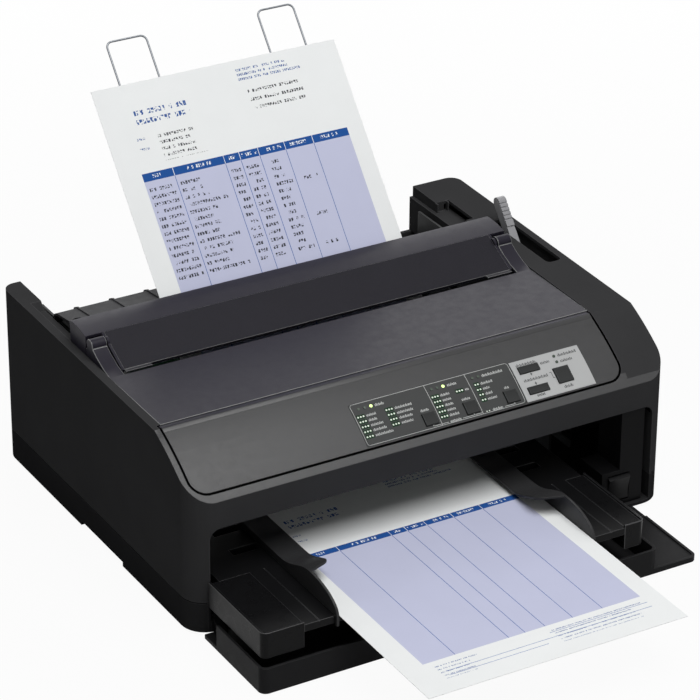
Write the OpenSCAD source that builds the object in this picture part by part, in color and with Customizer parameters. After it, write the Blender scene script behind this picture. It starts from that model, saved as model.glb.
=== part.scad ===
// Desktop dot matrix printer for single sheets, with its print mechanism.
// X runs along the platen to the right, Y to the back and Z up, in millimetres.
// The origin lies on the table, on the middle plane of the case, 15 mm behind the platen's axis.

/* [Case] */
// Width of the case over its side walls
case_w = 414; // [390:1:440]
// Distance from the origin forward to the case's front face
case_front = 175; // [170:1:185]
// Distance from the origin back to the case's rear face
case_back = 141; // [138:1:160]
// Height of the case's underside over the table
base_z = 3; // [2:0.5:6]
// Height of the seam between the lower and the upper case
seam_z = 27.3; // [24:0.1:32]
// Height of the rim at the top of the sloped control panel
rim_z = 148; // [147:0.5:152]
// Rise of the rim from there to the rear face
rim_rise = 3; // [1:0.5:4]
// Wall thickness of the case
wall = 3; // [2.5:0.1:3.5]
// Plan radius of the front corners
front_r = 20; // [12:1:24]
// Plan radius of the rear corners
rear_r = 10; // [6:1:14]
// Width of the rim left of the covers
left_rim_w = 7.3; // [6:0.1:8]
// Width of the deck right of the covers
deck_w = 36; // [34:0.5:38]

/* [Control panel] */
// Distance from the panel's top edge back to the origin
panel_top_y = 118; // [116:0.5:121]
// Height of the panel's lower edge
panel_foot_z = 111; // [109:0.5:114]
// Bulge of the panel's curved face over a flat one
panel_bulge = 2.7; // [2:0.1:4]
// Thickness of the panel's moulding
panel_t = 2.4; // [2:0.1:3]
// Radius of the panel's two lower corners
panel_r = 7; // [4:0.5:9]
// Thickness of the two label plates
label_t = 0.5; // [0.4:0.1:0.8]
// Height of the button caps over the panel
cap_h = 1.7; // [1.5:0.1:2.5]
// Travel of a button
button_travel = 1; // [0.5:0.1:1.2]
// Gap around a button
button_gap = 0.35; // [0.3:0.05:0.6]
// Radius of a light's lens
lens_r = 1.2; // [1:0.1:1.5]

/* [Front opening] */
// Height of the opening's upper edge
opening_z = 89; // [86:0.5:92]
// Width of the pillar at each side of the opening
pillar_w = 14.4; // [12:0.1:17]
// Radius of the opening's upper corners
opening_r = 9; // [4:0.5:12]

/* [Front cover] */
// Thickness of the cover's plate
flap_t = 3; // [2:0.1:3.5]
// Depth of the cover from the case's front face to its lip
flap_d = 88.5; // [88:0.1:94]
// Height of the lip over the cover's underside
flap_lip = 21; // [12:0.5:22]
// Thickness of the lip
flap_lip_t = 2.2; // [1.6:0.1:2.6]
// Height of the cover's underside over the table
flap_gap = 1; // [0.5:0.1:1.2]
// Radius of the hinge pins of the front cover
flap_pin_r = 2; // [1.5:0.1:2.2]

/* [Sheet path] */
// Width of a sheet
sheet_w = 216; // [200:0.5:217]
// Length of a sheet
sheet_l = 279.4; // [270:0.1:297]
// Thickness of a sheet
sheet_t = 0.3; // [0.2:0.05:0.4]
// Height of the front guide's plate
guide_z = 46; // [45:0.1:47]
// Thickness of the front guide's plate
guide_t = 6; // [4:0.5:7]
// Reach of the front guide in front of the case
guide_d = 83.5; // [70:0.1:83.5]
// Width of the guide's left end block
left_block_w = 34; // [28:0.5:36]
// Width of the guide's right end block
right_block_w = 18; // [14:0.5:20]
// Width of the lip that each edge guide holds over the sheet
edge_lip_w = 19; // [10:0.5:24]
// Wall of the edge guides
edge_t = 1.9; // [1.5:0.1:2.4]
// Travel of each edge guide outward
edge_travel = 20; // [10:1:22]
// Middle of the front sheet, measured left from the origin
front_sheet_shift = 26.5; // [20:0.5:28]
// Middle of the rear sheet, measured left from the origin
rear_sheet_shift = 12; // [5:0.5:16]
// Slope of the rear sheet
rear_tilt = 49.6; // [48:0.1:52]
// Length of the rear sheet that stands out over the slot between hood and guide
rear_out = 174.8; // [168:0.2:181]

/* [Platen and carriage] */
// Radius of the platen roller
platen_r = 14.9; // [14:0.1:15.5]
// Height of the platen's axis
platen_z = 120; // [119:0.1:121]
// Radius of the platen's shaft
platen_shaft_r = 4; // [3:0.1:4.5]
// Radius of the pressure rollers
press_r = 6; // [5:0.1:7]
// Radius of the rod that carries the carriage
rod_r = 5; // [4:0.1:6]
// Radius of the front rail that steadies the carriage
rail_r = 3.5; // [3:0.1:4]
// Width of the carriage
carriage_w = 62; // [56:1:66]
// Width of the print head
head_w = 44; // [40:1:48]
// Number of cooling fins on the print head
fins = 9; // [6:1:11]
// Width of the ribbon cartridge
cartridge_w = 110; // [100:1:116]
// Module of the paper-feed gears
gear_m = 1.25; // [1.2:0.01:1.28]
// Teeth of the platen gear
platen_teeth = 30; // [28:1:31]
// Teeth of the idler gear
idler_teeth = 18; // [17:1:19]
// Teeth of the motor pinion
pinion_teeth = 14; // [13:1:15]
// Radius of the belt pulleys
pulley_r = 8; // [7:0.1:9]
// Thickness of the drive belt
belt_t = 1.2; // [1:0.1:1.6]

/* [Top] */
// Thickness of the smoked top cover
cover_t = 2.5; // [2:0.1:3]
// Width of the cover's hinge arms
arm_w = 12.4; // [10:0.1:12.6]
// Radius of the hinge barrels
barrel_r = 5; // [4.5:0.1:5.2]
// Radius of the hinge pins of the top cover
cover_pin_r = 2; // [1.5:0.1:2.4]
// Wall thickness of the hood
hood_t = 2.2; // [1.8:0.1:2.6]
// Distance between the ribs on the rear guide
rib_pitch = 30.1; // [24:0.1:34]
// Thickness of the release lever
lever_t = 7; // [5:0.1:8]
// Radius of the wire of the sheet supports
wire_r = 0.8; // [0.7:0.05:1.3]

/* [Hidden] */

fit = 0.3;
turn_gap = 0.06;
$fn = 64;

// Case
x_l = -case_w / 2;
x_r = case_w / 2;
y_f = -case_front;
y_b = case_back;
open_l = x_l + left_rim_w;
open_r = x_r - deck_w;
seat_z = rim_z - 6;
floor_z = base_z + wall;
top_y = -panel_top_y;
cover_front_y = top_y + 5.5;
front_in_y = y_f + wall;
rear_wall_z = 112;
door_l = x_l + pillar_w;
door_r = x_r - pillar_w;

// Curved control panel: an arc through its top and foot edges
slope_dy = top_y - y_f;
slope_dz = rim_z - panel_foot_z;
slope_l = norm([slope_dy, slope_dz]);
slope_a = atan2(slope_dz, slope_dy);
arc_r = (slope_l * slope_l / 4 + panel_bulge * panel_bulge) / (2 * panel_bulge);
arc_y = (top_y + y_f) / 2 + (arc_r - panel_bulge) * sin(slope_a);
arc_z = (rim_z + panel_foot_z) / 2 - (arc_r - panel_bulge) * cos(slope_a);
arc_top_a = slope_a - asin(slope_l / 2 / arc_r);
arc_span = 2 * asin(slope_l / 2 / arc_r);
panel_l = 60;
groove = 0.8;
panel_gap = 1.5;
panel_x0 = open_l - 1.5;
panel_x1 = open_r - 2.5;
label_x0 = -57.5;
label_x1 = 80.5;
plate_x0 = label_x1 + 1;
plate_x1 = plate_x0 + 61.5;
label_s0 = 22.6;
label_s1 = 58.6;
board_drop = panel_t + 5.6;
stem_gap = 0.7;
dark_key = [11, 10];
long_key = [17.6, 5.8];
square_key = [13, 12.8];
dark_key_s = 50.4;
key_x = [-0.4, 35.4, 71];
long_key_x = 95;
long_key_s = [32.7, 50.5];
square_key_x = 120;
square_key_s = 44.6;
lens_at = [for (x = [-51.4, -46, -40.7, 11.6, 16.6, 21.6, 47.2, 52.4]) [x, 28],
  for (s = [28.2, 33.4]) [square_key_x, s]];

// Front cover and its hinge
flap_x0 = x_l + 7.8;
flap_x1 = open_r + 6;
flap_notch_x = flap_x1 - 37;
flap_back_y = y_f - 1;
flap_front_y = y_f - flap_d;
flap_axis_z = floor_z + 4.5;
flap_axis_y = y_f + 4.5;
lug_r = 3.9;
lug_w = 6;
ear_w = 2;
left_lug_x = door_l + ear_w + fit + 0.3;
switch_x0 = door_r - 42.6;
right_lug_x = switch_x0 - ear_w - fit - lug_w - 0.5;

// Front guide
guide_front_y = y_f - guide_d;
guide_back_y = y_f + 70;
block_x0 = flap_x0 + flap_lip_t + 1.2;
block_x1 = block_x0 + left_block_w;
block_x3 = 130;
block_x2 = block_x3 - right_block_w;
block_z0 = guide_z - 19;
block_rim = 2;
front_sheet_x0 = -front_sheet_shift - sheet_w / 2;
front_sheet_x1 = -front_sheet_shift + sheet_w / 2;
edge_gap = 0.4;
edge_low = 5.8;
edge_high = 17;
edge_back_y = guide_back_y - 10;
nose_l = 40;
ramp_l = 42;
tongue_y = [y_f + 25, y_f + 55];
tongue_l = 8;

// Mechanism between the side frames
frame_t = 2;
frame_x0 = open_l + 13.7;
frame_x1 = open_r - 13.5;
frame_z0 = floor_z + 6;
frame_z1 = seat_z - 1;
frame_y0 = top_y + 2;
frame_y1 = 115;
platen_y = -15;
tilt_u = [cos(rear_tilt), sin(rear_tilt)];
tilt_n = [sin(rear_tilt), -cos(rear_tilt)];
sheet_off = platen_r + 0.25 + sheet_t / 2;
press_off = platen_r + 0.5 + sheet_t + press_r;
nip = [platen_y, platen_z] + sheet_off * tilt_n;
slot_t = (rim_z + 11 - nip[1]) / tilt_u[1];
rear_sheet_t0 = slot_t + rear_out - sheet_l;
press_at = [platen_y, platen_z] + press_off * tilt_n;

// Gear train outside the left frame
gear_w = 6;
gear_x1 = frame_x0 - 4;
gear_x0 = gear_x1 - gear_w;
idler_dir = -45;
pinion_dir = -30;
idler_d = gear_m * (platen_teeth + idler_teeth) / 2;
pinion_d = gear_m * (idler_teeth + pinion_teeth) / 2;
idler_at = [platen_y + idler_d * cos(idler_dir), platen_z + idler_d * sin(idler_dir)];
pinion_at = [idler_at[0] + pinion_d * cos(pinion_dir), idler_at[1] + pinion_d * sin(pinion_dir)];
idler_turn = idler_dir + 180 + 180 / idler_teeth;
pinion_turn = pinion_dir + 180 + (pinion_dir - idler_turn) * idler_teeth / pinion_teeth
  - 180 / pinion_teeth;
idler_pin_r = 2.5;
motor_shaft_r = 2;

// Carriage
head_x = -15;
rod_at = [-58, 96];
rail_at = [-98, 104];
carriage_z = [86, 112];
carriage_y = [rail_at[0] - rail_r - 1.7, rod_at[0] + rod_r + 3];
nose_y = platen_y - platen_r - 1.35;
ribbon_y = platen_y - platen_r - 0.75;
belt_y = carriage_y[0] - 6;
belt_w = 6;
pulley_z = 74;
pulley_x = [frame_x0 + 14, frame_x1 - 19.5];
belt_run_z = pulley_z + pulley_r + belt_t / 2;
bracket_y = belt_y + belt_w / 2 + 4;

// Top cover, hood and rear guide
cover_x0 = open_l + fit;
cover_x1 = open_r - fit;
cover_back_y = -31;
hinge_y = 2;
hinge_z = rim_z + 12;
ridge_y = hinge_y + barrel_r + 1.5;
ridge_z = hinge_z + 5;
hood_back_y = 34;
slope_foot_y = -25;
slope_foot_z = rim_z + 0.8;
lever_y = 6;
lever_z = rim_z - 32;
lever_lean = 38.7;
lever_l = 72;
lever_x = open_r + 17.5;
lever_pin_r = 3;
guide2_y = [40, 82];
guide2_z = [rim_z + 8.3, rim_z + 2.5];
guide2_x = [frame_x0 - 4, frame_x1 - 52.5];
guide2_t = 2.2;
stay_y = [50, 70];
support_x = [-105, 85];
support_t0 = slot_t + 10;
support_t1 = support_t0 + 110;
support_t = 2.5;
hinge2_t = slot_t + 8;
hinge2_off = 6;
wire_x = [[-93, -58.5], [40.7, 73]];
wire_top = slot_t + rear_out + 37;
wire_low = support_t0 + 65;
wire_bend = 5;

// Screws, feet and sockets
screw_xy = [for (x = [x_l + 11, x_r - 11], y = [y_f + 60, y_b - 22]) [x, y]];
foot_xy = [for (x = [x_l + 22, x_r - 22], y = [y_f + 25, y_b - 26]) [x, y]];
screw_r = 1.75;
grip_w = 9;
grip_y = [-60, 10];
grip_z = base_z + 3.7;
board_z = frame_z0 + 2 + 4;
inlet_x = [118, 146];
inlet_z = [24, 46];
port_z = [board_z + 1.6, board_z + 14];
ports_x = [[-140, -84], [-70, -56]];
tractor_at = [98, 75];
tractor_x = [-140, 60];
board_x = [-165, 30];
board_y = [-10, 134];

CASE = "#1d1d1f";
GREY = "#3c3c3f";
SMOKED = "#46434e";
STEEL = "#b4b7ba";
DARK = "#2a2a2c";
PAPER = "#eeeeee";

// Box between two corners
module box(x, y, z) {
  translate([x[0], y[0], z[0]]) cube([x[1] - x[0], y[1] - y[0], z[1] - z[0]]);
}

// Bar along X, Y or Z, from a to b, whose axis passes through at
module rod_x(a, b, at, r) { translate([a, at[0], at[1]]) rotate([0, 90, 0]) cylinder(r = r, h = b - a); }
module rod_y(a, b, at, r) { translate([at[0], a, at[1]]) rotate([-90, 0, 0]) cylinder(r = r, h = b - a); }

// Ring along X
module ring_x(a, b, at, r, bore) {
  translate([a, at[0], at[1]]) rotate([0, 90, 0]) difference() {
    cylinder(r = r, h = b - a);
    translate([0, 0, -1]) cylinder(r = bore, h = b - a + 2);
  }
}

// Extrudes an outline drawn in Y and Z from a to b along X
module profile_x(a, b) { translate([a, 0, 0]) rotate([90, 0, 90]) linear_extrude(b - a) children(); }

// Rectangle with round corners, with its front pair and its rear pair of radii
module plan_rect(x, y, rf, rb) {
  translate([x[0] + rf, y[0]]) square([x[1] - x[0] - 2 * rf, y[1] - y[0] - rb]);
  translate([x[0] + rb, y[1] - rb - 0.01]) square([x[1] - x[0] - 2 * rb, rb + 0.01]);
  translate([x[0], y[0] + rf]) square([x[1] - x[0], y[1] - y[0] - rf - rb]);
  for (i = [0, 1]) {
    translate([i == 0 ? x[0] + rf : x[1] - rf, y[0] + rf]) circle(rf);
    translate([i == 0 ? x[0] + rb : x[1] - rb, y[1] - rb]) circle(rb);
  }
}

// Places children on the panel's curved face: X across, Y up the slope, Z outward, s from its top edge
module on_panel(x, s) {
  translate([x, arc_y, arc_z]) rotate([arc_top_a + s / slope_l * arc_span, 0, 0]) translate([0, 0, arc_r])
    children();
}

// Slab that follows the panel's curve, from s0 to s1 down the slope and from z0 to z1 off its face
module panel_slab(x0, x1, s0, s1, z0, z1) {
  a0 = arc_top_a + s0 / slope_l * arc_span;
  a1 = arc_top_a + s1 / slope_l * arc_span;
  far = 2 * arc_r;
  translate([x0, arc_y, arc_z]) rotate([90, 0, 90]) linear_extrude(x1 - x0) intersection() {
    difference() {
      circle(arc_r + z1, $fn = 240);
      circle(arc_r + z0, $fn = 240);
    }
    polygon([[0, 0], far * [-sin(a0), cos(a0)], far * [-sin((a0 + a1) / 2), cos((a0 + a1) / 2)] * 1.1,
      far * [-sin(a1), cos(a1)]]);
  }
}

// Block over the panel from x0 to x1 and down to s1, with the panel's round lower corners of radius r
module panel_plan(x0, x1, s1, r) {
  mid = panel_l / 2;
  foot = arc_r * sin((s1 - mid) / slope_l * arc_span);
  on_panel(0, mid) translate([0, 0, -20]) linear_extrude(40) plan_rect([x0, x1], [-foot, mid + 10], r, 1);
}

// Outline of the case from the side, drawn in Y and Z, with its walls moved in by t
module case_side(t) {
  low_r = 12 - t;
  intersection() {
    polygon([[y_f + t, base_z + t], [y_b - t, base_z + t], [y_b - t, rim_z + rim_rise - t],
      [top_y, rim_z - t], [y_f + t, rim_z - t]]);
    union() {
      translate([arc_y, arc_z]) circle(arc_r - t, $fn = 240);
      translate([y_f, base_z]) square([case_front + case_back, panel_foot_z - t * 0.6 - base_z]);
      translate([top_y, base_z]) square([case_back - top_y, rim_z]);
    }
    union() {
      translate([y_f, base_z + low_r + t]) square([case_front + case_back, rim_z]);
      translate([y_f, base_z]) square([case_front + case_back - low_r - t, rim_z]);
      translate([y_b - low_r - t, base_z + low_r + t]) circle(low_r);
    }
  }
}

// Case as one block, with its walls moved in by t
module case_block(t) {
  intersection() {
    linear_extrude(rim_z + rim_rise + 5)
      plan_rect([x_l + t, x_r - t], [y_f + t, y_b - t], front_r - t, rear_r - t);
    profile_x(x_l - 1, x_r + 1) case_side(t);
  }
}

// Involute gear outline, with its tooth 0 on the Y axis of the outline
function involute(rb, r) = let (a = sqrt(max(0, r * r / rb / rb - 1))) a * 180 / PI - atan(a);
module gear_outline(n) {
  rp = gear_m * n / 2;
  rb = rp * cos(20);
  ra = rp + gear_m * 0.92;
  rr = rp - gear_m * 1.2;
  half = 90 / n - 0.16 / rp * 180 / PI + involute(rb, rp);
  radii = [for (i = [0:4]) max(rb, rr) + (ra - max(rb, rr)) * i / 4];
  polygon([for (k = [0:n - 1]) each concat(
    [rr * [cos(k * 360 / n - half), sin(k * 360 / n - half)]],
    [for (r = radii) let (a = k * 360 / n - half + involute(rb, r)) r * [cos(a), sin(a)]],
    [for (i = [4:-1:0]) let (r = radii[i], a = k * 360 / n + half - involute(rb, r)) r * [cos(a), sin(a)]],
    [rr * [cos(k * 360 / n + half), sin(k * 360 / n + half)]])]);
}

// Gear around an axis along X, with its tooth turned by a from the Y axis
module gear_x(x0, x1, at, n, turn, bore) {
  translate([x0, at[0], at[1]]) rotate([90, 0, 90]) linear_extrude(x1 - x0) difference() {
    rotate(turn) gear_outline(n);
    circle(bore);
  }
}

// Screw bosses of the case, from z0 to z1
module bosses(z0, z1) {
  for (p = screw_xy) {
    translate([p[0], p[1], z0]) cylinder(r = 5.5, h = z1 - z0);
    translate([p[0] < 0 ? x_l + 1 : p[0], p[1] - 1.5, z0]) cube([10, 3, z1 - z0]);
  }
}

// Places children on the rear sheet's plane: Y up along the sheet from the platen's nip, Z to its front
module on_sheet(t, off) {
  translate([0, nip[0] + t * tilt_u[0] + off * tilt_n[0], nip[1] + t * tilt_u[1] + off * tilt_n[1]])
    rotate([rear_tilt, 0, 0]) children();
}

// Holes in the case's rear wall for the mains inlet and the data sockets
module socket_holes() {
  box([inlet_x[0] - fit, inlet_x[1] + fit], [y_b - 15, y_b + 5], [inlet_z[0] - fit, inlet_z[1] + fit]);
  for (p = ports_x) box([p[0] - fit, p[1] + fit], [y_b - 15, y_b + 5], [port_z[0] - fit, port_z[1] + fit]);
}

module lower_case() {
  ear_x = [door_l, left_lug_x + lug_w + fit, right_lug_x - fit - ear_w, right_lug_x + lug_w + fit];
  color(CASE) difference() {
    union() {
      difference() {
        intersection() {
          case_block(0);
          box([x_l - 1, x_r + 1], [y_f - 1, y_b + 1], [0, seam_z]);
        }
        case_block(wall);
        box([door_l, door_r], [y_f - 1, y_f + wall + 5], [floor_z, seam_z + 1]);
      }
      intersection() {
        case_block(0);
        union() {
          bosses(base_z, seam_z);
          for (x = [x_l, x_r - grip_w - wall])
            box([x, x + grip_w + wall], grip_y + [-wall, wall], [base_z, grip_z + wall]);
        }
      }
      for (x = [door_l - 2, door_r]) box([x, x + 2], [y_f + 1, y_f + 25], [floor_z - 1, seam_z]);
      for (x = ear_x) {
        box([x, x + ear_w], [flap_axis_y - lug_r, flap_axis_y + lug_r], [floor_z - 1, flap_axis_z]);
        rod_x(x, x + ear_w, [flap_axis_y, flap_axis_z], lug_r);
      }
      for (x = [frame_x0 + 6, block_x2 + 8])
        box([x, x + 4], [y_f + 10, guide_back_y - 7], [floor_z - 1, guide_z - guide_t]);
      for (x = [-120, 90], y = [-70, 100]) translate([x, y, floor_z - 1]) cylinder(r = 6, h = frame_z0 - floor_z + 1);
      for (x = [frame_x0 - 4, frame_x1 + 4], y = [-60, 90])
        translate([x, y, floor_z - 1]) cylinder(r = 4, h = frame_z0 - floor_z + 1);
    }
    for (p = screw_xy) translate([p[0], p[1], 0]) {
      cylinder(r = 3.7, h = base_z + 4.4);
      cylinder(r = screw_r + 0.25, h = seam_z + 1);
    }
    for (x = [x_l - 1, x_r - grip_w]) box([x, x + grip_w + 1], grip_y, [0, grip_z]);
    rod_x(door_l - 1, right_lug_x + lug_w + fit + ear_w + 1, [flap_axis_y, flap_axis_z], flap_pin_r + 0.03);
    socket_holes();
  }
}

module upper_case() {
  color(CASE) {
    for (x = [open_r - 5, open_r + 5]) box([x, x + 1.2], [102, 105.5], [seat_z - 0.5, rim_z + 2]);
    difference() {
    union() {
      difference() {
        intersection() {
          case_block(0);
          box([x_l - 1, x_r + 1], [y_f - 1, y_b + 1], [seam_z, 300]);
        }
        case_block(wall);
        box([open_l, open_r], [cover_front_y - fit, y_b + 1], [rear_wall_z, 300]);
        translate([0, y_f + wall + 5, 0]) rotate([90, 0, 0]) linear_extrude(wall + 6)
          plan_rect([door_l, door_r], [0, opening_z], 1, opening_r);
        difference() {
          box([x_l - 1, x_r + 1], [y_f - 1, y_b + 1], [seam_z - 1, seam_z + groove]);
          linear_extrude(seam_z + 9)
            plan_rect([x_l + groove, x_r - groove], [y_f + groove, y_b - groove], front_r, rear_r);
        }
      }
      intersection() {
        case_block(0);
        union() {
          box([x_l, open_l], [cover_front_y - 4, y_b], [rim_z - 9, 300]);
          profile_x(x_l, open_l + 8.9)
            polygon([[95, rim_z - 8], [y_b, rim_z - 8], [y_b, 300], [104, 300], [104, rim_z + 3]]);
          box([open_r, open_r + wall], [cover_front_y - 4, y_b], [platen_z + 12, 300]);
          box([open_r - 5, open_r + 1], [105, y_b], [seat_z - 1, 300]);
          box([open_r - 8, open_r - 5], [74, y_b], [rear_wall_z, seat_z]);
          box([open_r - 8, open_r + 9], [63, y_b], [seat_z - 3, seat_z]);
          box([x_l, open_l + 8.9], [ridge_y, hood_back_y + 1], [seat_z - 3, seat_z]);
          box([x_l, open_l + 8.9], [hood_back_y + 1, 97], [seat_z - 1, seat_z + 3]);
          box([open_r - 9, open_r + 1], [ridge_y, hood_back_y + 1], [seat_z - 3, seat_z]);
          box([open_l - 1, open_r + 1], [cover_front_y - 4, cover_front_y + 5],
            [rim_z - cover_t - wall, rim_z - cover_t]);
          panel_slab(x_l + 1, x_r - 1, 0, slope_l, -panel_t - 2.4, -0.3);
          bosses(seam_z, seam_z + 22);
          for (x = [door_l - 2, door_r]) box([x, x + 2], [y_f + 1, y_f + 25], [seam_z, opening_z - opening_r]);
        }
      }
      rod_x(lever_x + lever_t + 0.5, x_r - 1, [lever_y, lever_z], lever_pin_r + 3.5);
    }
    intersection() {
      panel_slab(panel_x0 - panel_gap, panel_x1 + panel_gap, 0.4, panel_l + panel_gap, -panel_t, 6);
      panel_plan(panel_x0 - panel_gap, panel_x1 + panel_gap, panel_l + panel_gap, panel_r + panel_gap);
    }
    panel_slab(label_x0 - 6, plate_x1 + 6, label_s0 - 4, panel_l - 0.6, -12, 1);
    translate([0, 0, platen_z + 15]) linear_extrude(40) plan_rect([open_r + 16.6, x_r - 6], [-30, 54], 4, 4);
    box([open_r - 9, open_r + 7], [66, 105], [seat_z, 300]);
    rod_x(x_r - wall - 2, x_r + 1, [platen_y, platen_z], platen_shaft_r + 1.5);
    rod_x(lever_x, x_r - wall, [lever_y, lever_z], lever_pin_r + 0.03);
    for (p = screw_xy) translate([p[0], p[1], seam_z - 1]) cylinder(r = screw_r + 0.05, h = 18);
    socket_holes();
    }
  }
}

// Holes for the keys and the lights, grown by g around each key
module panel_holes(g) {
  module hole(x, s, size) {
    on_panel(x, s) translate([-size[0] / 2 - g, -size[1] / 2 - g, -12]) cube([size[0] + 2 * g, size[1] + 2 * g, 20]);
  }
  for (x = key_x) hole(x, dark_key_s, dark_key);
  for (s = long_key_s) hole(long_key_x, s, long_key);
  hole(square_key_x, square_key_s, square_key);
  for (p = lens_at) on_panel(p[0], p[1]) translate([0, 0, -12]) cylinder(r = lens_r + 0.05, h = 20);
}

module control_panel() {
  mid_s = (label_s0 + label_s1) / 2 - 1;
  color("#4a4a4e") difference() {
    union() {
      intersection() {
        panel_slab(panel_x0, panel_x1, 1.2, panel_l, -panel_t, 0);
        panel_plan(panel_x0, panel_x1, panel_l, panel_r);
      }
      for (x = [label_x0 + 2, plate_x0 - 0.5, plate_x1 - 3], y = [-15, 15]) on_panel(x, mid_s)
        translate([0, y, -board_drop]) cylinder(r = 2, h = board_drop - 1.6);
    }
    panel_holes(button_gap);
  }
}

module key_label() {
  color("#2b2f2d") difference() {
    panel_slab(label_x0, label_x1, label_s0, label_s1, 0.05, label_t);
    panel_holes(button_gap);
  }
}

module key_plate() {
  color("#a3a3a6") difference() {
    panel_slab(plate_x0, plate_x1, label_s0 + 1.4, label_s1, 0.05, label_t);
    panel_holes(button_gap);
  }
}

module panel_board() {
  mid_s = (label_s0 + label_s1) / 2 - 1;
  color("#2e5a3a") on_panel(0, mid_s)
    box([label_x0 - 2, plate_x1 + 2], [-17.5, 17.5], [-board_drop - 1.6, -board_drop]);
}

module indicator_lenses() {
  color("#c9e26a") for (p = lens_at) on_panel(p[0], p[1])
    translate([0, 0, 0.4 - panel_t]) cylinder(r = lens_r, h = panel_t + label_t);
}

// Key cap with the flange that holds it under the panel and the stem over its switch
module key(x, s, size) {
  color("#48484a") on_panel(x, s) {
    difference() {
      box([-size[0] / 2, size[0] / 2], [-size[1] / 2, size[1] / 2], [-panel_t - 1.2, cap_h]);
      translate([0, 0, cap_h + 2 * size[1]]) rotate([0, 90, 0])
        cylinder(r = 2 * size[1] + 0.4, h = size[0] - 1.6, center = true, $fn = 180);
    }
    box([-size[0] / 2 - 1.2, size[0] / 2 + 1.2], [-size[1] / 2 - 1.2, size[1] / 2 + 1.2],
      [-panel_t - 1.4, -panel_t - 0.4]);
    translate([0, 0, -board_drop + button_travel + stem_gap])
      cylinder(r = 1.8, h = board_drop - button_travel - stem_gap - panel_t - 0.6);
  }
}

module eject_button() { key(long_key_x, long_key_s[0], long_key); }
module feed_button() { key(long_key_x, long_key_s[1], long_key); }
module pause_button() { key(square_key_x, square_key_s, square_key); }
module font_button() { key(key_x[0], dark_key_s, dark_key); }
module pitch_button() { key(key_x[1], dark_key_s, dark_key); }
module menu_button() { key(key_x[2], dark_key_s, dark_key); }

// Power switch: a rocker between two ears behind its panel
rocker = [[switch_x0 + 6, switch_x0 + 25], 11.5];
rocker_at = [front_in_y + fit + 4.6, floor_z + 15.5];
module switch_panel() {
  y0 = front_in_y + fit;
  wide_z = floor_z + 31;
  narrow_x = switch_x0 + 16;
  color(CASE) difference() {
    union() {
      translate([0, y0 + wall, 0]) rotate([90, 0, 0]) linear_extrude(wall)
        polygon([[switch_x0, floor_z], [door_r - 5.5, floor_z], [door_r - 5.5, opening_z + 11],
          [narrow_x, opening_z + 11], [narrow_x, wide_z], [switch_x0, wide_z]]);
      box([switch_x0, switch_x0 + 2], [y0 + 1, y0 + 30], [floor_z, wide_z]);
      box([narrow_x, narrow_x + 2], [y0 + 1, y0 + 30], [wide_z - 2, opening_z + 11]);
      box([switch_x0, narrow_x + 2], [y0 + 1, y0 + 30], [wide_z - 2, wide_z]);
      for (x = [rocker[0][0] - 3, rocker[0][1] + 0.4])
        box([x, x + 2.6], [y0 + wall - 0.5, rocker_at[0] + 3.5], [rocker_at[1] - 4, rocker_at[1] + 4]);
    }
    box([rocker[0][0] - 0.4, rocker[0][1] + 0.4], [y0 - 1, y0 + wall + 0.5],
      [rocker_at[1] - rocker[1] - 0.5, rocker_at[1] + rocker[1] + 0.5]);
    rod_x(rocker[0][0] - 4, rocker[0][1] + 4, rocker_at, 1.2 + turn_gap);
  }
}

module power_switch() {
  color("#3a3a3c") {
    profile_x(rocker[0][0], rocker[0][1]) translate(rocker_at) intersection() {
      circle(rocker[1]);
      rotate(7) translate([-6, -14]) difference() {
        square([9.5, 28]);
        translate([-38.6, 14]) circle(40, $fn = 180);
      }
    }
    rod_x(rocker[0][0] - 2.6, rocker[0][1] + 2.6, rocker_at, 1.2);
  }
}

module rubber_feet() {
  color("#161616") for (p = foot_xy) translate([p[0], p[1], 0]) cylinder(r = 9, h = base_z);
}

module case_screws() {
  color(STEEL) for (p = screw_xy) translate([p[0], p[1], base_z + 2]) {
    difference() {
      cylinder(r = 3.2, h = 2.4);
      for (a = [0, 90]) rotate(a) translate([-2, -0.4, -1]) cube([4, 0.8, 2.2]);
    }
    translate([0, 0, 2.3]) cylinder(r = screw_r, h = seam_z - base_z + 10);
  }
}

module front_cover() {
  plan = [[flap_x0, flap_x1], [flap_front_y, flap_back_y]];
  color("#19191a") difference() {
    union() {
      translate([0, 0, flap_gap]) linear_extrude(flap_t) plan_rect(plan[0], plan[1], 6, 1);
      for (p = [[flap_x1, flap_t + 1.2], [flap_notch_x, flap_lip]]) translate([0, 0, flap_gap]) difference() {
        linear_extrude(p[1]) plan_rect([flap_x0, p[0]], plan[1], 6, 1);
        translate([0, 0, flap_t - 0.1]) linear_extrude(flap_lip)
          plan_rect([flap_x0 + flap_lip_t, p[0] - flap_lip_t], [flap_front_y + flap_lip_t, y_f + 9], 4, 1);
        box([flap_x0 - 1, flap_x1 + 1], [y_f - 20, y_f + 1], [flap_t - 0.1, 50]);
      }
      for (x = [left_lug_x, right_lug_x]) profile_x(x, x + lug_w) {
        translate([flap_axis_y, flap_axis_z]) circle(lug_r);
        polygon([[y_f - 9, flap_gap + 0.5], [y_f - 1.1, flap_gap + 0.5], [y_f - 1.1, flap_axis_z - lug_r],
          [flap_axis_y, flap_axis_z - lug_r], [flap_axis_y, flap_axis_z + lug_r], [y_f - 9, flap_gap + 6]]);
      }
    }
    rod_x(flap_x0 - 1, flap_x1, [flap_axis_y, flap_axis_z], flap_pin_r + turn_gap);
  }
}

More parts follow.
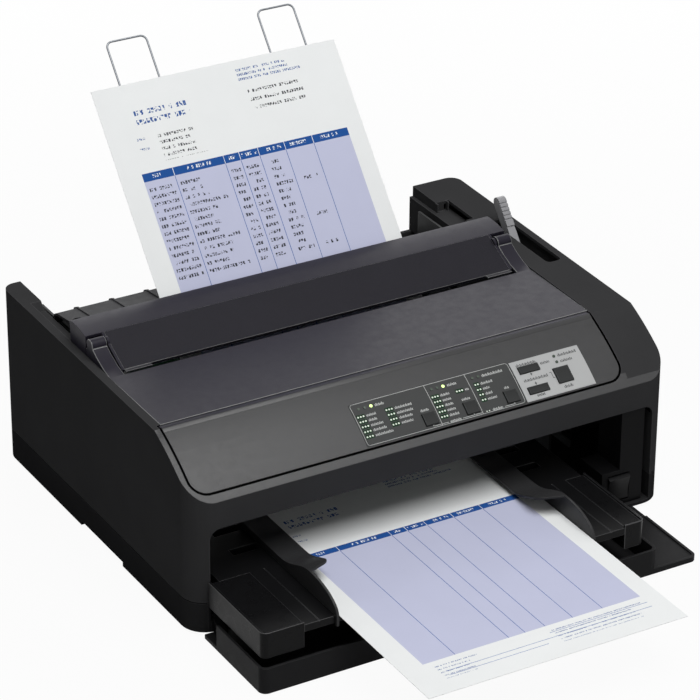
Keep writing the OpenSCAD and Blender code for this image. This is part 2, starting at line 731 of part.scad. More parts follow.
// Left faces of the left and of the right edge guide's wall
edge_x = [front_sheet_x0 - edge_gap - edge_t, front_sheet_x1 + edge_gap];
module front_guide() {
  color("#232325") difference() {
    union() {
      box([block_x1, block_x2], [guide_front_y, y_f - 1], [guide_z - guide_t, guide_z]);
      box([block_x0 + 9, block_x3 - 3], [y_f - 2, guide_back_y], [guide_z - guide_t, guide_z]);
    }
    for (i = [0, 1], y = tongue_y)
      box([edge_x[i] - 0.4 - (1 - i) * edge_travel - 3, edge_x[i] + edge_t + 0.4 + i * edge_travel + 3],
        [y - fit, y + tongue_l + fit], [0, guide_z + 1]);
    for (x = [block_x1 + 12, block_x2 - 12]) box([x - 0.4, x + 0.4], [guide_front_y - 1, y_f - 2],
      [guide_z - 0.5, guide_z + 1]);
    box([block_x1 + 3, block_x2 - 3], [guide_front_y + 2, y_f - 4], [0, guide_z - 2.4]);
  }
}

// End block of the front guide, with a bead along its outer edges
module end_block(x0, x1, outer) {
  color("#202022") difference() {
    translate([0, 0, block_z0]) linear_extrude(guide_z + block_rim - block_z0) {
      plan_rect([x0, x1], [guide_front_y, y_f - 2], 5, 0.6);
      translate([outer < 0 ? x1 - 7 : x0, guide_front_y]) square([7, 12]);
    }
    box([outer < 0 ? x0 + block_rim : x0 - 1, x1 + (outer < 0 ? 1 : -block_rim)],
      [guide_front_y + block_rim, y_f], [guide_z + 0.2, guide_z + 9]);
    box([x0 + 2.4, x1 - 2.4], [guide_front_y + 2.4, y_f - 5], [0, guide_z - 2.4]);
  }
}

module left_guide_block() { end_block(block_x0, block_x1, -1); }
module right_guide_block() { end_block(block_x2, block_x3, 1); }

// Upper edge of an edge guide: a round nose, then a ramp down to the low part that holds the sheet flat
edge_nose_y = guide_front_y - 2.5;
edge_nose = [for (a = [0:9:90]) [edge_nose_y + nose_l * (1 - cos(a)), guide_z + 0.1 + edge_high * sin(a)]];
edge_ramp = [for (u = [0.1:0.1:1]) [edge_nose_y + nose_l + ramp_l * u,
  guide_z + 0.1 + edge_low + (edge_high - edge_low) * (1 + cos(180 * u)) / 2]];
edge_top = concat(edge_nose, edge_ramp, [[edge_back_y, guide_z + 0.1 + edge_low]]);
// Plan of the lip over the sheet, from x outwards: its front corner is cut back and round
module lip_plan(x, out) {
  y0 = edge_nose_y + nose_l;
  tip = [for (t = [0:0.2:1]) [edge_lip_w - 6 * pow(1 - t, 2), y0 + 5.5 * pow(1 - t, 2) + 16 * t * (1 - t) + 14 * t * t]];
  plan = concat([[-0.2, y0 - 0.1]], tip, [[edge_lip_w, edge_back_y + 1], [-0.2, edge_back_y + 1]]);
  polygon([for (p = plan) [x + out * p[0], p[1]]]);
}
module edge_guide(x, side) {
  lip = edge_t - 0.3;
  back = concat([edge_nose[len(edge_nose) - 1]], edge_ramp, [[edge_back_y, guide_z + 0.1 + edge_low]]);
  lip_x = side < 0 ? [x + edge_t - 0.1, x + edge_t + edge_lip_w] : [x - edge_lip_w, x + 0.1];
  color("#3b3b3e") {
    profile_x(x, x + edge_t) polygon(concat([[edge_back_y, guide_z + 0.1]], edge_top));
    intersection() {
      profile_x(lip_x[0], lip_x[1]) polygon(concat(back, [for (i = [len(back) - 1:-1:0]) back[i] - [0, lip]]));
      translate([0, 0, guide_z]) linear_extrude(40) lip_plan(side < 0 ? x + edge_t : x, -side);
    }
    box([x, x + edge_t], [edge_nose_y, guide_front_y - fit], [guide_z - 8, guide_z + 1]);
    for (y = tongue_y) {
      box([x, x + edge_t], [y, y + tongue_l], [guide_z - guide_t - 2, guide_z + 1]);
      box([x, x + edge_t], [y - 2, y + tongue_l + 2], [guide_z - guide_t - 2, guide_z - guide_t - fit]);
    }
  }
}

module left_edge_guide() { edge_guide(edge_x[0], -1); }
module right_edge_guide() { edge_guide(edge_x[1], 1); }

// Left ends of the two hinge arms, and the side of the arms where their skirt hangs
arm_x = [cover_x0, cover_x1 - arm_w];
skirt_t = 2.2;
module top_cover() {
  color(SMOKED) difference() {
    union() {
      box([cover_x0, cover_x1], [cover_front_y, cover_back_y], [rim_z - cover_t, rim_z]);
      for (i = [0, 1]) {
        profile_x(arm_x[i], arm_x[i] + arm_w)
          polygon([[cover_back_y - 9, rim_z - cover_t - 1], [cover_back_y - 9, rim_z - 0.1], [cover_back_y, rim_z],
            [cover_back_y + 10, rim_z + 2.4], [cover_back_y + 21, rim_z + 7.1], [hinge_y, hinge_z + 2],
            [hinge_y, hinge_z - 3], [cover_back_y + 21, rim_z + 3.6], [cover_back_y + 10, rim_z - 1],
            [cover_back_y, rim_z - cover_t - 1]]);
        x = i == 0 ? arm_x[0] : cover_x1 - skirt_t;
        profile_x(x, x + skirt_t)
          polygon([[cover_back_y, rim_z - 1], [cover_back_y + 3, seat_z + 1], [ridge_y - fit, seat_z + 1],
            [ridge_y - fit, hinge_z - barrel_r], [hinge_y, hinge_z], [cover_back_y + 21, rim_z + 5]]);
        rod_x(arm_x[i], arm_x[i] + arm_w, [hinge_y, hinge_z], barrel_r);
      }
    }
    rod_x(cover_x0 + 2, cover_x0 + arm_w + 1, [hinge_y, hinge_z], cover_pin_r + turn_gap);
    rod_x(cover_x1 - arm_w - 1, cover_x1 - 2, [hinge_y, hinge_z], cover_pin_r + turn_gap);
  }
}

// Outer line of the tear-off bar, from the ridge down to its free edge, and the same line t inside
bar_top = [[ridge_y, ridge_z], [cover_back_y + 10, rim_z + 2.4], [slope_foot_y, slope_foot_z]];
bar_low = [for (p = bar_top) p + [0.6, -2.4]];
module hood() {
  top_line = [[ridge_y, ridge_z], [20, rim_z + 19], [30, rim_z + 19.4], [hood_back_y, rim_z + 18.9],
    [hood_back_y + 1.5, rim_z + 17]];
  low_line = [for (i = [len(top_line) - 1:-1:0]) top_line[i] - [i > 2 ? hood_t * 0.8 : 0, hood_t]];
  color(SMOKED) difference() {
    union() {
      profile_x(cover_x0, cover_x1) polygon(concat(top_line, low_line));
      for (x = [cover_x0, cover_x1 - skirt_t]) profile_x(x, x + skirt_t)
        polygon([[ridge_y, seat_z], [hood_back_y - 1, seat_z], [hood_back_y + 1.4, rim_z + 16.8],
          [20, rim_z + 18], [ridge_y, ridge_z - 0.5]]);
      for (x = [frame_x0, frame_x1 - frame_t]) profile_x(x, x + frame_t) {
        polygon([[slope_foot_y + 3, frame_z1], [hood_back_y - 1, frame_z1], [hood_back_y - 1, rim_z + 17],
          bar_top[0], bar_top[1], bar_top[2], bar_low[2]]);
        translate([hinge_y, hinge_z]) circle(cover_pin_r + 2);
      }
    }
    rod_x(cover_x0 + 3, cover_x1 - 3, [hinge_y, hinge_z], cover_pin_r + 0.03);
  }
}

module tear_off_bar() {
  color("#3a3840") {
    profile_x(frame_x0 + frame_t, frame_x1 - frame_t) polygon([bar_top[0], bar_top[1], bar_top[2], bar_low[2], bar_low[1],
      [ridge_y, bar_low[0][1]]]);
    for (x = [frame_x0 + frame_t, frame_x1 - frame_t - 22]) box([x, x + 22], [slope_foot_y - 3, slope_foot_y + 1],
      [slope_foot_z - 1.8, slope_foot_z - 0.4]);
  }
}

module release_lever() {
  grip_z = lever_l - 24;
  color("#77777a") translate([lever_x, lever_y, lever_z]) rotate([-lever_lean, 0, 0]) difference() {
    rotate([90, 0, 90]) linear_extrude(lever_t) {
      circle(lever_pin_r + 5);
      polygon([[-5, 0], [5, 0], [3.6, grip_z], [-3.6, grip_z]]);
      translate([-4.6, grip_z - 2]) square([9.2, 22]);
      translate([0, lever_l - 4.6]) circle(4.6);
    }
    for (k = [0:4]) translate([-1, -5.4, grip_z + 3 + 3.4 * k]) cube([lever_t + 2, 1.4, 1.3]);
    translate([-1, 0, 0]) rotate([0, 90, 0]) cylinder(r = lever_pin_r + turn_gap, h = lever_t + 2);
  }
}

module lever_pin() {
  color(STEEL) {
    rod_x(lever_x - 1.5, x_r - wall - 0.1, [lever_y, lever_z], lever_pin_r);
    rod_x(lever_x - 2, lever_x - 0.4, [lever_y, lever_z], lever_pin_r + 2);
  }
}

// Where the sheet support's hinge lies, in Y and Z, and the spans of its ears along X
hinge2 = nip + hinge2_t * tilt_u + hinge2_off * tilt_n;
ear2_x = [[support_x[0] + 9, support_x[0] + 13], [support_x[1] - 13, support_x[1] - 9]];
knuckle_x = [[ear2_x[0][1] + fit, ear2_x[0][1] + 8], [ear2_x[1][0] - 8, ear2_x[1][0] - fit]];
module rear_guide() {
  drop = (guide2_z[0] - guide2_z[1]) / (guide2_y[1] - guide2_y[0]);
  top = [[guide2_y[0], guide2_z[0]], [guide2_y[1] - 4, guide2_z[0] - drop * (guide2_y[1] - 4 - guide2_y[0])],
    [guide2_y[1], guide2_z[1] - 1.7], [guide2_y[1] + 2, guide2_z[1] - 5], [guide2_y[1] + 2, frame_z1]];
  low = [for (i = [len(top) - 1:-1:0]) top[i] - guide2_t * (i > 2 ? [1, 0] : i == 2 ? [0.7, 0.7] : [0.1, 1])];
  n_ribs = floor((guide2_x[1] - guide2_x[0] - 20) / rib_pitch);
  color("#313133") difference() {
    union() {
      profile_x(guide2_x[0], guide2_x[1]) polygon(concat(top, low));
      for (k = [0:n_ribs]) profile_x(guide2_x[0] + 17 + k * rib_pitch, guide2_x[0] + 18.6 + k * rib_pitch)
        polygon(concat([for (i = [0:3]) top[i] + [i > 1 ? 0.7 : 0, i > 2 ? 0.4 : 1]], [top[3], top[2], top[1], top[0]]));
      for (x = [guide2_x[0] + 8, -60, 30, guide2_x[1] - 3]) profile_x(x, x + 2)
        polygon([[stay_y[0], frame_z1], [stay_y[1], frame_z1],
          [stay_y[1], guide2_z[0] - drop * (stay_y[1] - guide2_y[0]) - 1],
          [stay_y[0], guide2_z[0] - drop * (stay_y[0] - guide2_y[0]) - 1]]);
      for (e = ear2_x) profile_x(e[0], e[1]) {
        translate(hinge2) circle(2.8);
        translate([hinge2[0] - 2.8, guide2_z[1]]) square([5.6, hinge2[1] - guide2_z[1]]);
      }
    }
    translate([guide2_x[0] + 7, 55, frame_z1 + 2]) cylinder(r = 4, h = 30);
    rod_x(ear2_x[0][0] - 1, ear2_x[1][1] + 1, hinge2, 1.53);
  }
}

module rear_stay() {
  color(STEEL) difference() {
    box([frame_x0 + frame_t, frame_x1 - frame_t], stay_y, [frame_z1 - 8, frame_z1]);
    box([frame_x0, frame_x1], stay_y + [1.5, -1.5], [frame_z1 - 9, frame_z1 - 1.5]);
  }
}

// Depth of the support's front face and of its wires behind the rear sheet's middle plane
support_off = sheet_t / 2 + 0.3;
wire_off = support_off + support_t + wire_r + 0.3;
module sheet_support() {
  color("#2c2c2f") difference() {
    union() {
      on_sheet(0, 0) box(support_x, [hinge2_t + 2, support_t1], [-support_off - support_t, -support_off]);
      for (k = knuckle_x) {
        ring_x(k[0], k[1], hinge2, 3.5, 1.5 + turn_gap);
        on_sheet(0, 0) box(k, [hinge2_t + 2.3, hinge2_t + 6], [0.6 - hinge2_off, -support_off - 0.8]);
      }
      on_sheet(0, 0) for (w = wire_x, x = w, t = [support_t0 + 75, support_t1 - 14])
        box([x - wire_r - 1.8, x + wire_r + 1.8], [t, t + 9], [-wire_off - wire_r - 1.6, -support_off - 1]);
    }
    for (w = wire_x, x = w) on_sheet(support_t0 + 72, wire_off)
      translate([x, 0, 0]) rotate([-90, 0, 0]) cylinder(r = wire_r + turn_gap, h = support_t1 - support_t0);
  }
}

// Fixed pins of the front cover, the top cover and the sheet support
module hinge_pins() {
  color(STEEL) {
    rod_x(door_l + 0.1, left_lug_x + lug_w + fit + ear_w, [flap_axis_y, flap_axis_z], flap_pin_r);
    rod_x(right_lug_x - fit - ear_w, right_lug_x + lug_w + fit + ear_w, [flap_axis_y, flap_axis_z], flap_pin_r);
    rod_x(cover_x0 + 2.3, frame_x0 + frame_t - 0.1, [hinge_y, hinge_z], cover_pin_r);
    rod_x(frame_x1 - frame_t + 0.1, cover_x1 - 2.3, [hinge_y, hinge_z], cover_pin_r);
    rod_x(ear2_x[0][0] - 0.2, knuckle_x[0][1] + 0.2, hinge2, 1.5);
    rod_x(knuckle_x[1][0] - 0.2, ear2_x[1][1] + 0.2, hinge2, 1.5);
  }
}

// Wire loop in the plane of the sheet, with legs at x[0] and x[1]
module wire_loop(x) {
  leg = wire_top - wire_bend - wire_low;
  for (p = x) translate([p, wire_low, 0]) rotate([-90, 0, 0]) cylinder(r = wire_r, h = leg, $fn = 24);
  translate([x[0] + wire_bend, wire_top, 0]) rotate([0, 90, 0])
    cylinder(r = wire_r, h = x[1] - x[0] - 2 * wire_bend, $fn = 24);
  for (i = [0, 1]) translate([i == 0 ? x[0] + wire_bend : x[1] - wire_bend, wire_top - wire_bend, 0])
    rotate([0, 0, i == 0 ? 90 : 0]) rotate_extrude(angle = 90) translate([wire_bend, 0]) circle(wire_r, $fn = 24);
}

module support_wires() {
  color("#c8c8ca") on_sheet(0, wire_off) {
    for (w = wire_x) wire_loop(w);
    translate([wire_x[0][0] - wire_r, wire_low, 0]) rotate([0, 90, 0])
      cylinder(r = wire_r, h = wire_x[1][1] - wire_x[0][0] + 2 * wire_r, $fn = 24);
  }
}

module rear_sheet() {
  color(PAPER) on_sheet(0, 0) box([-rear_sheet_shift - sheet_w / 2, -rear_sheet_shift + sheet_w / 2],
    [rear_sheet_t0, rear_sheet_t0 + sheet_l], [-sheet_t / 2, sheet_t / 2]);
}

module front_sheet() {
  y0 = guide_back_y + 1 - sheet_l;
  color(PAPER) box([front_sheet_x0, front_sheet_x1], [y0, y0 + sheet_l], [guide_z + 0.1, guide_z + 0.1 + sheet_t]);
}

module base_frame() {
  color(STEEL) {
    difference() {
      box([frame_x0 + frame_t, frame_x1 - frame_t], [-90, 134], [frame_z0, frame_z0 + 2]);
      for (x = [-150:60:90]) linear_extrude(40) plan_rect([x, x + 36], [-78, -22], 5, 5);
    }
    for (x = board_x + [5, -5], y = board_y + [5, -5]) translate([x, y, frame_z0 + 1])
      cylinder(r = 3, h = board_z - frame_z0 - 1);
  }
}

// Side frame of the mechanism, with its inner face's feet turned to side d
module side_frame(x, d) {
  foot_x = d < 0 ? [x - 8, x + 1] : [x + 1, x + frame_t + 8];
  difference() {
    union() {
      profile_x(x, x + frame_t) difference() {
        translate([frame_y0, frame_z0]) square([frame_y1 - frame_y0, frame_z1 - frame_z0]);
        translate([frame_y0 - 1, guide_z - guide_t - 1.5]) square([14, guide_t + 3.5]);
        translate([frame_y0 - 1, frame_z0 - 1]) square([28, 22]);
        translate([-82, frame_z0 + 14]) square([70, 38]);
        translate([8, frame_z0 + 14]) square([84, 34]);
        translate([52, 92]) square([46, 34]);
      }
      for (y = [-60, 90]) box(foot_x, [y - 6, y + 6], [frame_z0, frame_z0 + 1.6]);
    }
    rod_x(x - 1, x + frame_t + 1, [platen_y, platen_z], 7.03);
    rod_x(x - 1, x + frame_t + 1, rod_at, rod_r + 0.03);
    rod_x(x - 1, x + frame_t + 1, rail_at, rail_r + 0.03);
    rod_x(x - 1, x + frame_t + 1, press_at, 2.5 + turn_gap);
    rod_x(x - 1, x + frame_t + 1, tractor_at, 3.03);
  }
}

module left_frame() {
  x1 = frame_x0 + frame_t;
  color(STEEL) {
    difference() {
      side_frame(frame_x0, -1);
      rod_x(frame_x0 - 1, x1 + 1, pinion_at, 6.03);
    }
    rod_x(gear_x0 - 0.6, frame_x0 + 1, idler_at, idler_pin_r);
    ring_x(gear_x1 + 0.5, frame_x0 + 1, idler_at, idler_pin_r + 2.5, idler_pin_r - 1);
    box([x1 - 1, pulley_x[0] + 12], [bracket_y, bracket_y + 2], [pulley_z - 12, pulley_z + 12]);
    rod_y(belt_y - 4.6, bracket_y + 1, [pulley_x[0], pulley_z], 2);
  }
}

module right_frame() { color(STEEL) side_frame(frame_x1 - frame_t, 1); }

module platen() {
  at = [platen_y, platen_z];
  color("#1b1b1c") {
    rod_x(frame_x0 + 10, frame_x1 - 9.5, at, platen_r);
    rod_x(frame_x0 - 11.4, x_r + 11, at, platen_shaft_r);
  }
}

// Bushes that carry the platen's shaft in the side frames
module platen_bushes() {
  at = [platen_y, platen_z];
  color("#c9a35a") for (p = [[frame_x0, 1], [frame_x1 - frame_t, -1]]) {
    ring_x(p[0] - 1, p[0] + frame_t + 1, at, 7, platen_shaft_r + turn_gap);
    x = p[1] > 0 ? p[0] + frame_t : p[0] - 1.5;
    ring_x(x, x + 1.5, at, 9, platen_shaft_r + turn_gap);
  }
}

module platen_gear() {
  color("#d8d4c4") difference() {
    gear_x(gear_x0, gear_x1, [platen_y, platen_z], platen_teeth, idler_dir, platen_shaft_r + 0.02);
    for (a = [0:60:300]) translate([gear_x0 - 1, platen_y, platen_z]) rotate([a, 0, 0])
      translate([0, 10.5, 0]) rotate([0, 90, 0]) cylinder(r = 3.2, h = gear_w + 2);
  }
}

module platen_knob() {
  at = [platen_y, platen_z];
  color(CASE) difference() {
    union() {
      rod_x(x_r + 1.2, x_r + 12, at, 12);
      rod_x(x_r + 12, x_r + 15, at, 9.5);
    }
    rod_x(x_r, x_r + 11.1, at, platen_shaft_r + 0.02);
    for (a = [0:20:340]) translate([x_r + 3, platen_y, platen_z]) rotate([a, 0, 0])
      translate([0, 12.6, 0]) rotate([0, 90, 0]) cylinder(r = 1.3, h = 20);
  }
}

module idler_gear() {
  color("#d8d4c4") gear_x(gear_x0, gear_x1, idler_at, idler_teeth, idler_turn, idler_pin_r + turn_gap);
}

module feed_motor() {
  x1 = frame_x0 + frame_t;
  color(DARK) {
    rod_x(x1, x1 + 34, pinion_at, 18);
    rod_x(frame_x0 - 0.5, x1 + 1, pinion_at, 6);
    rod_x(gear_x0 - 0.6, x1 + 1, pinion_at, motor_shaft_r);
    rod_x(x1 + 33, x1 + 36, pinion_at, 6);
  }
}

module feed_pinion() {
  color("#c9a35a") gear_x(gear_x0, gear_x1, pinion_at, pinion_teeth, pinion_turn, motor_shaft_r + turn_gap);
}

module pressure_rollers() {
  color("#4c4c4e") {
    rod_x(frame_x0 - 1, frame_x1 + 1, press_at, 2.5);
    for (x = [-90:50:60]) rod_x(x - 8, x + 8, press_at, press_r);
  }
}

module carriage_rods() {
  color("#c5c8cb") {
    rod_x(frame_x0 - 0.5, frame_x1 + 0.5, rod_at, rod_r);
    rod_x(frame_x0 - 0.5, frame_x1 + 0.5, rail_at, rail_r);
  }
}

module carriage() {
  x0 = head_x - carriage_w / 2;
  x1 = head_x + carriage_w / 2;
  color("#39393c") difference() {
    union() {
      box([x0, x1], carriage_y, carriage_z);
      box([head_x - 8, head_x + 8], [belt_y - 4, carriage_y[0] + 1], [belt_run_z - 3.6, carriage_z[0] + 5]);
      for (x = [x0, x1 - 6]) box([x, x + 6], [carriage_y[0] + 6, carriage_y[1] - 4], [carriage_z[1] - 1, carriage_z[1] + 4]);
    }
    rod_x(x0 - 1, x1 + 1, rod_at, rod_r + turn_gap);
    rod_x(x0 - 1, x1 + 1, rail_at, rail_r + turn_gap);
    box([head_x - 9, head_x + 9], [belt_y - belt_w / 2 - 0.5, belt_y + belt_w / 2 + 0.5],
      [belt_run_z - belt_t / 2 - 0.4, belt_run_z + belt_t / 2 + 0.5]);
    for (x = [x0 + 8, head_x + 4]) box([x, x + carriage_w / 2 - 12], [rail_at[0] + rail_r + 4, rod_at[0] - rod_r - 5],
      [0, carriage_z[1] - 4]);
  }
}

module print_head() {
  z0 = carriage_z[1];
  x0 = head_x - head_w / 2;
  fin = 2;
  color("#8d9094") {
    box([x0, x0 + head_w], [-78, -48], [z0, z0 + 8]);
    for (k = [0:fins - 1]) box([x0, x0 + fin] + k * (head_w - fin) / (fins - 1) * [1, 1], [-78, -48], [z0 + 7, z0 + 25]);
    box([head_x - 9, head_x + 9], [-50, nose_y], [z0 - 4, z0 + 16]);
  }
}

module ribbon_cartridge() {
  z0 = carriage_z[1] + 4;
  half = cartridge_w / 2;
  in = head_w / 2 + 2;
  color("#141415") {
    translate([head_x, 0, z0]) linear_extrude(18) difference() {
      union() {
        plan_rect([-half, half], [carriage_y[0] - 0.8, -36], 6, 4);
        for (s = [-1, 1]) translate([s * 33 - 3, -42]) square([6, 42 + ribbon_y - 0.4]);
      }
      translate([-in, -80]) square([2 * in, 60]);
    }
    box([head_x - 36, head_x + 36], [ribbon_y - 0.4, ribbon_y + 0.4 - 0.5], [z0 + 1, z0 + 14]);
  }
}

// Belt between the two pulleys, and the pulleys, drawn around axes along Y
module drive_belt() {
  r = pulley_r + turn_gap;
  color("#222224") translate([0, belt_y + belt_w / 2, 0]) rotate([90, 0, 0]) linear_extrude(belt_w) difference() {
    union() {
      for (x = pulley_x) translate([x, pulley_z]) circle(r + belt_t);
      translate([pulley_x[0], pulley_z - r - belt_t]) square([pulley_x[1] - pulley_x[0], 2 * (r + belt_t)]);
    }
    for (x = pulley_x) translate([x, pulley_z]) circle(r);
    translate([pulley_x[0], pulley_z - r]) square([pulley_x[1] - pulley_x[0], 2 * r]);
  }
}

module pulley(x) {
  w = belt_w + 2 * fit;
  color("#c9c6ba") difference() {
    union() {
      rod_y(belt_y - w / 2, belt_y + w / 2, [x, pulley_z], pulley_r);
      for (y = [belt_y - w / 2 - 0.8, belt_y + w / 2]) rod_y(y, y + 0.8, [x, pulley_z], pulley_r + 2);
    }
    rod_y(belt_y - 9, belt_y + 9, [x, pulley_z], motor_shaft_r + turn_gap);
    for (a = [0:90:270]) translate([x, belt_y - 9, pulley_z]) rotate([0, a, 0]) translate([5, 0, 0])
      rotate([-90, 0, 0]) cylinder(r = 1.4, h = 18);
  }
}

module left_pulley() { pulley(pulley_x[0]); }
module right_pulley() { pulley(pulley_x[1]); }

module carriage_motor() {
  at = [pulley_x[1], pulley_z];
  x1 = frame_x1 - frame_t;
  color(DARK) {
    rod_y(bracket_y, bracket_y + 38, at, 14);
    box([at[0] - 16.5, x1], [bracket_y - 2, bracket_y], [pulley_z - 16, pulley_z + 16]);
    box([x1 - 1.6, x1], [bracket_y - 2, bracket_y + 10], [pulley_z - 16, pulley_z + 16]);
    rod_y(belt_y - 4.6, bracket_y, at, motor_shaft_r);
  }
}

module tractor_shaft() { color(STEEL) rod_x(frame_x0 - 0.5, frame_x1 + 0.5, tractor_at, 3); }

// Tractor: a block on the shaft, with a row of feed pins on its upper edge
module tractor(x) {
  color(DARK) difference() {
    union() {
      profile_x(x - 9, x + 9) translate(tractor_at) {
        for (y = [-18, 18]) translate([y, 0]) circle(11.5);
        translate([-18, -11.5]) square([36, 23]);
      }
      for (y = [-16:8:16]) translate([x, tractor_at[0] + y, tractor_at[1] + 11]) cylinder(r1 = 1.8, r2 = 1, h = 2.6);
    }
    rod_x(x - 10, x + 10, tractor_at, 3 + turn_gap);
    box([x - 3.6, x + 3.6], [tractor_at[0] - 32, tractor_at[0] + 32], [0, tractor_at[1] - 4]);
  }
}

module left_tractor() { tractor(tractor_x[0]); }
module right_tractor() { tractor(tractor_x[1]); }

module main_board() {
  z1 = board_z + 1.6;
  color("#2e5a3a") {
    box(board_x, board_y, [board_z, z1]);
    for (p = [[-120, 10, 36, 14], [-120, 40, 36, 14], [-60, 20, 28, 28], [-10, 60, 24, 8], [-10, 80, 24, 8]])
      box([p[0], p[0] + p[2]], [p[1], p[1] + p[3]], [z1 - 0.5, z1 + 3.6]);
    for (y = [20, 45, 70]) translate([8, y, z1 - 0.5]) cylinder(r = 6, h = 18);
    box([-150, -100], [80, 88], [z1 - 0.5, z1 + 9]);
  }
}

module power_supply() {
  x = [frame_x1 - 97.5, frame_x1 - 7.5];
  y = [20, 127.7];
  z = [frame_z0 + 2, 60];
  color("#9fa2a5") difference() {
    box(x, y, z);
    box(x + [1.2, -1.2], y + [1.2, -1.2], z + [1.2, -1.2]);
    for (k = [0:6]) box([x[0] + 16, x[1] - 16], [y[0] + 16 + 11 * k, y[0] + 20 + 11 * k], [z[1] - 3, z[1] + 1]);
  }
  color("#9fa2a5") box([x[0] + 30, x[0] + 66], [y[0] + 30, y[0] + 70], [z[0] + 1, z[0] + 30]);
}

module rear_sockets() {
  color("#161617") {
    difference() {
      box(inlet_x, [y_b - 13, y_b + 0.5], inlet_z);
      box(inlet_x + [2.5, -2.5], [y_b - 10, y_b + 1], inlet_z + [2.5, -2.5]);
    }
    for (d = [-7, 0, 7]) box([(inlet_x[0] + inlet_x[1]) / 2 + d - 1, (inlet_x[0] + inlet_x[1]) / 2 + d + 1], [y_b - 11, y_b - 1.5],
      d == 0 ? [35, 39.4] : [30, 34.4]);
    for (p = ports_x) difference() {
      box(p, [board_y[1] - 14, y_b + 0.5], port_z);
      box(p + [1.6, -1.6], [y_b - 9, y_b + 1], port_z + [1.6, -1.6]);
    }
  }
}

lower_case();
upper_case();
control_panel();
key_label();
key_plate();
panel_board();
indicator_lenses();
eject_button();
feed_button();
pause_button();
font_button();
pitch_button();
menu_button();
switch_panel();
power_switch();
rubber_feet();
case_screws();
hinge_pins();
front_cover();
front_guide();
left_guide_block();
right_guide_block();
left_edge_guide();
right_edge_guide();
top_cover();
hood();
tear_off_bar();
release_lever();
lever_pin();
rear_guide();
rear_stay();
sheet_support();
support_wires();
rear_sheet();
front_sheet();
base_frame();
left_frame();
right_frame();
platen();
platen_bushes();
platen_gear();
platen_knob();
idler_gear();
feed_motor();
feed_pinion();
pressure_rollers();
carriage_rods();
carriage();
print_head();
ribbon_cartridge();
drive_belt();
left_pulley();
right_pulley();
carriage_motor();
tractor_shaft();
left_tractor();
right_tractor();
main_board();
power_supply();
rear_sockets();
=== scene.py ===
"""A dot matrix printer with its sheets in place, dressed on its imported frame.

X runs along the platen, Y to the back and Z up. Sizes in the functions are in millimetres.
"""

from math import cos, hypot, pi, radians, sin
import bpy
from bpy.props import FloatProperty, FloatVectorProperty, PointerProperty
from mathutils import Matrix, Vector


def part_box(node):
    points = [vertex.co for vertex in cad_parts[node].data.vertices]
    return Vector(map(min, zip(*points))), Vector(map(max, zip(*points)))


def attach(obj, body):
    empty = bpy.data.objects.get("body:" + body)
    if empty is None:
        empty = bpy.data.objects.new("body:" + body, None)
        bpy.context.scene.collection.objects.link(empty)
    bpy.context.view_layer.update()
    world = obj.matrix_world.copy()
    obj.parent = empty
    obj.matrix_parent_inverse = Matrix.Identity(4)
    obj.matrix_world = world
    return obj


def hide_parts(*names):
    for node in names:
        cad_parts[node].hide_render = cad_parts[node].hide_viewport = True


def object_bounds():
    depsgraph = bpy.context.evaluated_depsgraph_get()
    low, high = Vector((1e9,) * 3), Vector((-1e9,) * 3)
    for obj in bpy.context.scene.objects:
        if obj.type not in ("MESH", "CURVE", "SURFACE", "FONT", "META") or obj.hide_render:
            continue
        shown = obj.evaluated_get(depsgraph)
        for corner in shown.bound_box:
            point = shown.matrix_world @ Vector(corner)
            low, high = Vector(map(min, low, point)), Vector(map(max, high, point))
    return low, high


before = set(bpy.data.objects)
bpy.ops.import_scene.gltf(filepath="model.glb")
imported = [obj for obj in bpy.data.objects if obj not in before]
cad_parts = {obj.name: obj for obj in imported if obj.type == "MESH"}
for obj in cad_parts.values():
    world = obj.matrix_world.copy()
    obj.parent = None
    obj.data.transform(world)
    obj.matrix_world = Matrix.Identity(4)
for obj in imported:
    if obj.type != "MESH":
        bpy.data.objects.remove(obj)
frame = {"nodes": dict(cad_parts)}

bl_info = {
    "name": "Dot matrix printer",
    "version": (1, 0, 0),
    "blender": (4, 5, 0),
    "location": "View3D > Sidebar > Printer",
    "description": "Finishes, printed marks, paper and stage of a dot matrix printer",
    "category": "Object",
}

MM = 0.001
CAD_LOW, CAD_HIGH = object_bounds()
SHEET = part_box("rear_sheet")
TRAY_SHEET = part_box("front_sheet")

# The control panel's face, an arc across the front: its axis and radius, then the angle at the
# groove behind it and the degrees for each millimetre down to the fascia
PANEL_Y, PANEL_Z, PANEL_R = -30.81, -48.72, 215.17
PANEL_A0, PANEL_RATE = 23.90, 18.17 / 67.96

# The panel's two ends, the gap round it, the radius of its lower corners and the reach of its foot
PANEL_X = (-201.2, 168.5)
PANEL_GAP = 1.5
PANEL_CORNER = 13.0
PANEL_FOOT = 168.97

# The line of the panel's rounded top, from its face to the cover's front edge, as Y and Z, and
# where on it the smoked finish starts
CREST_LINE = (
    (-121.8, 146.33), (-120.5, 147.05), (-119.3, 147.8), (-118.3, 148.25), (-117.4, 148.35),
    (-116.4, 148.15), (-115.0, 147.75), (-113.1, 147.55),
)
CREST_SPLIT = -118.4

# The case in plan: half its width, its front and the radius of its front corners
CASE_HALF, CASE_FRONT, CASE_CORNER = 207.0, 175.0, 20.0

# The labels: the height of their faces over the panel's, and where they start down the slope
LABEL_TOP = 0.5
LABEL_START = 22.6

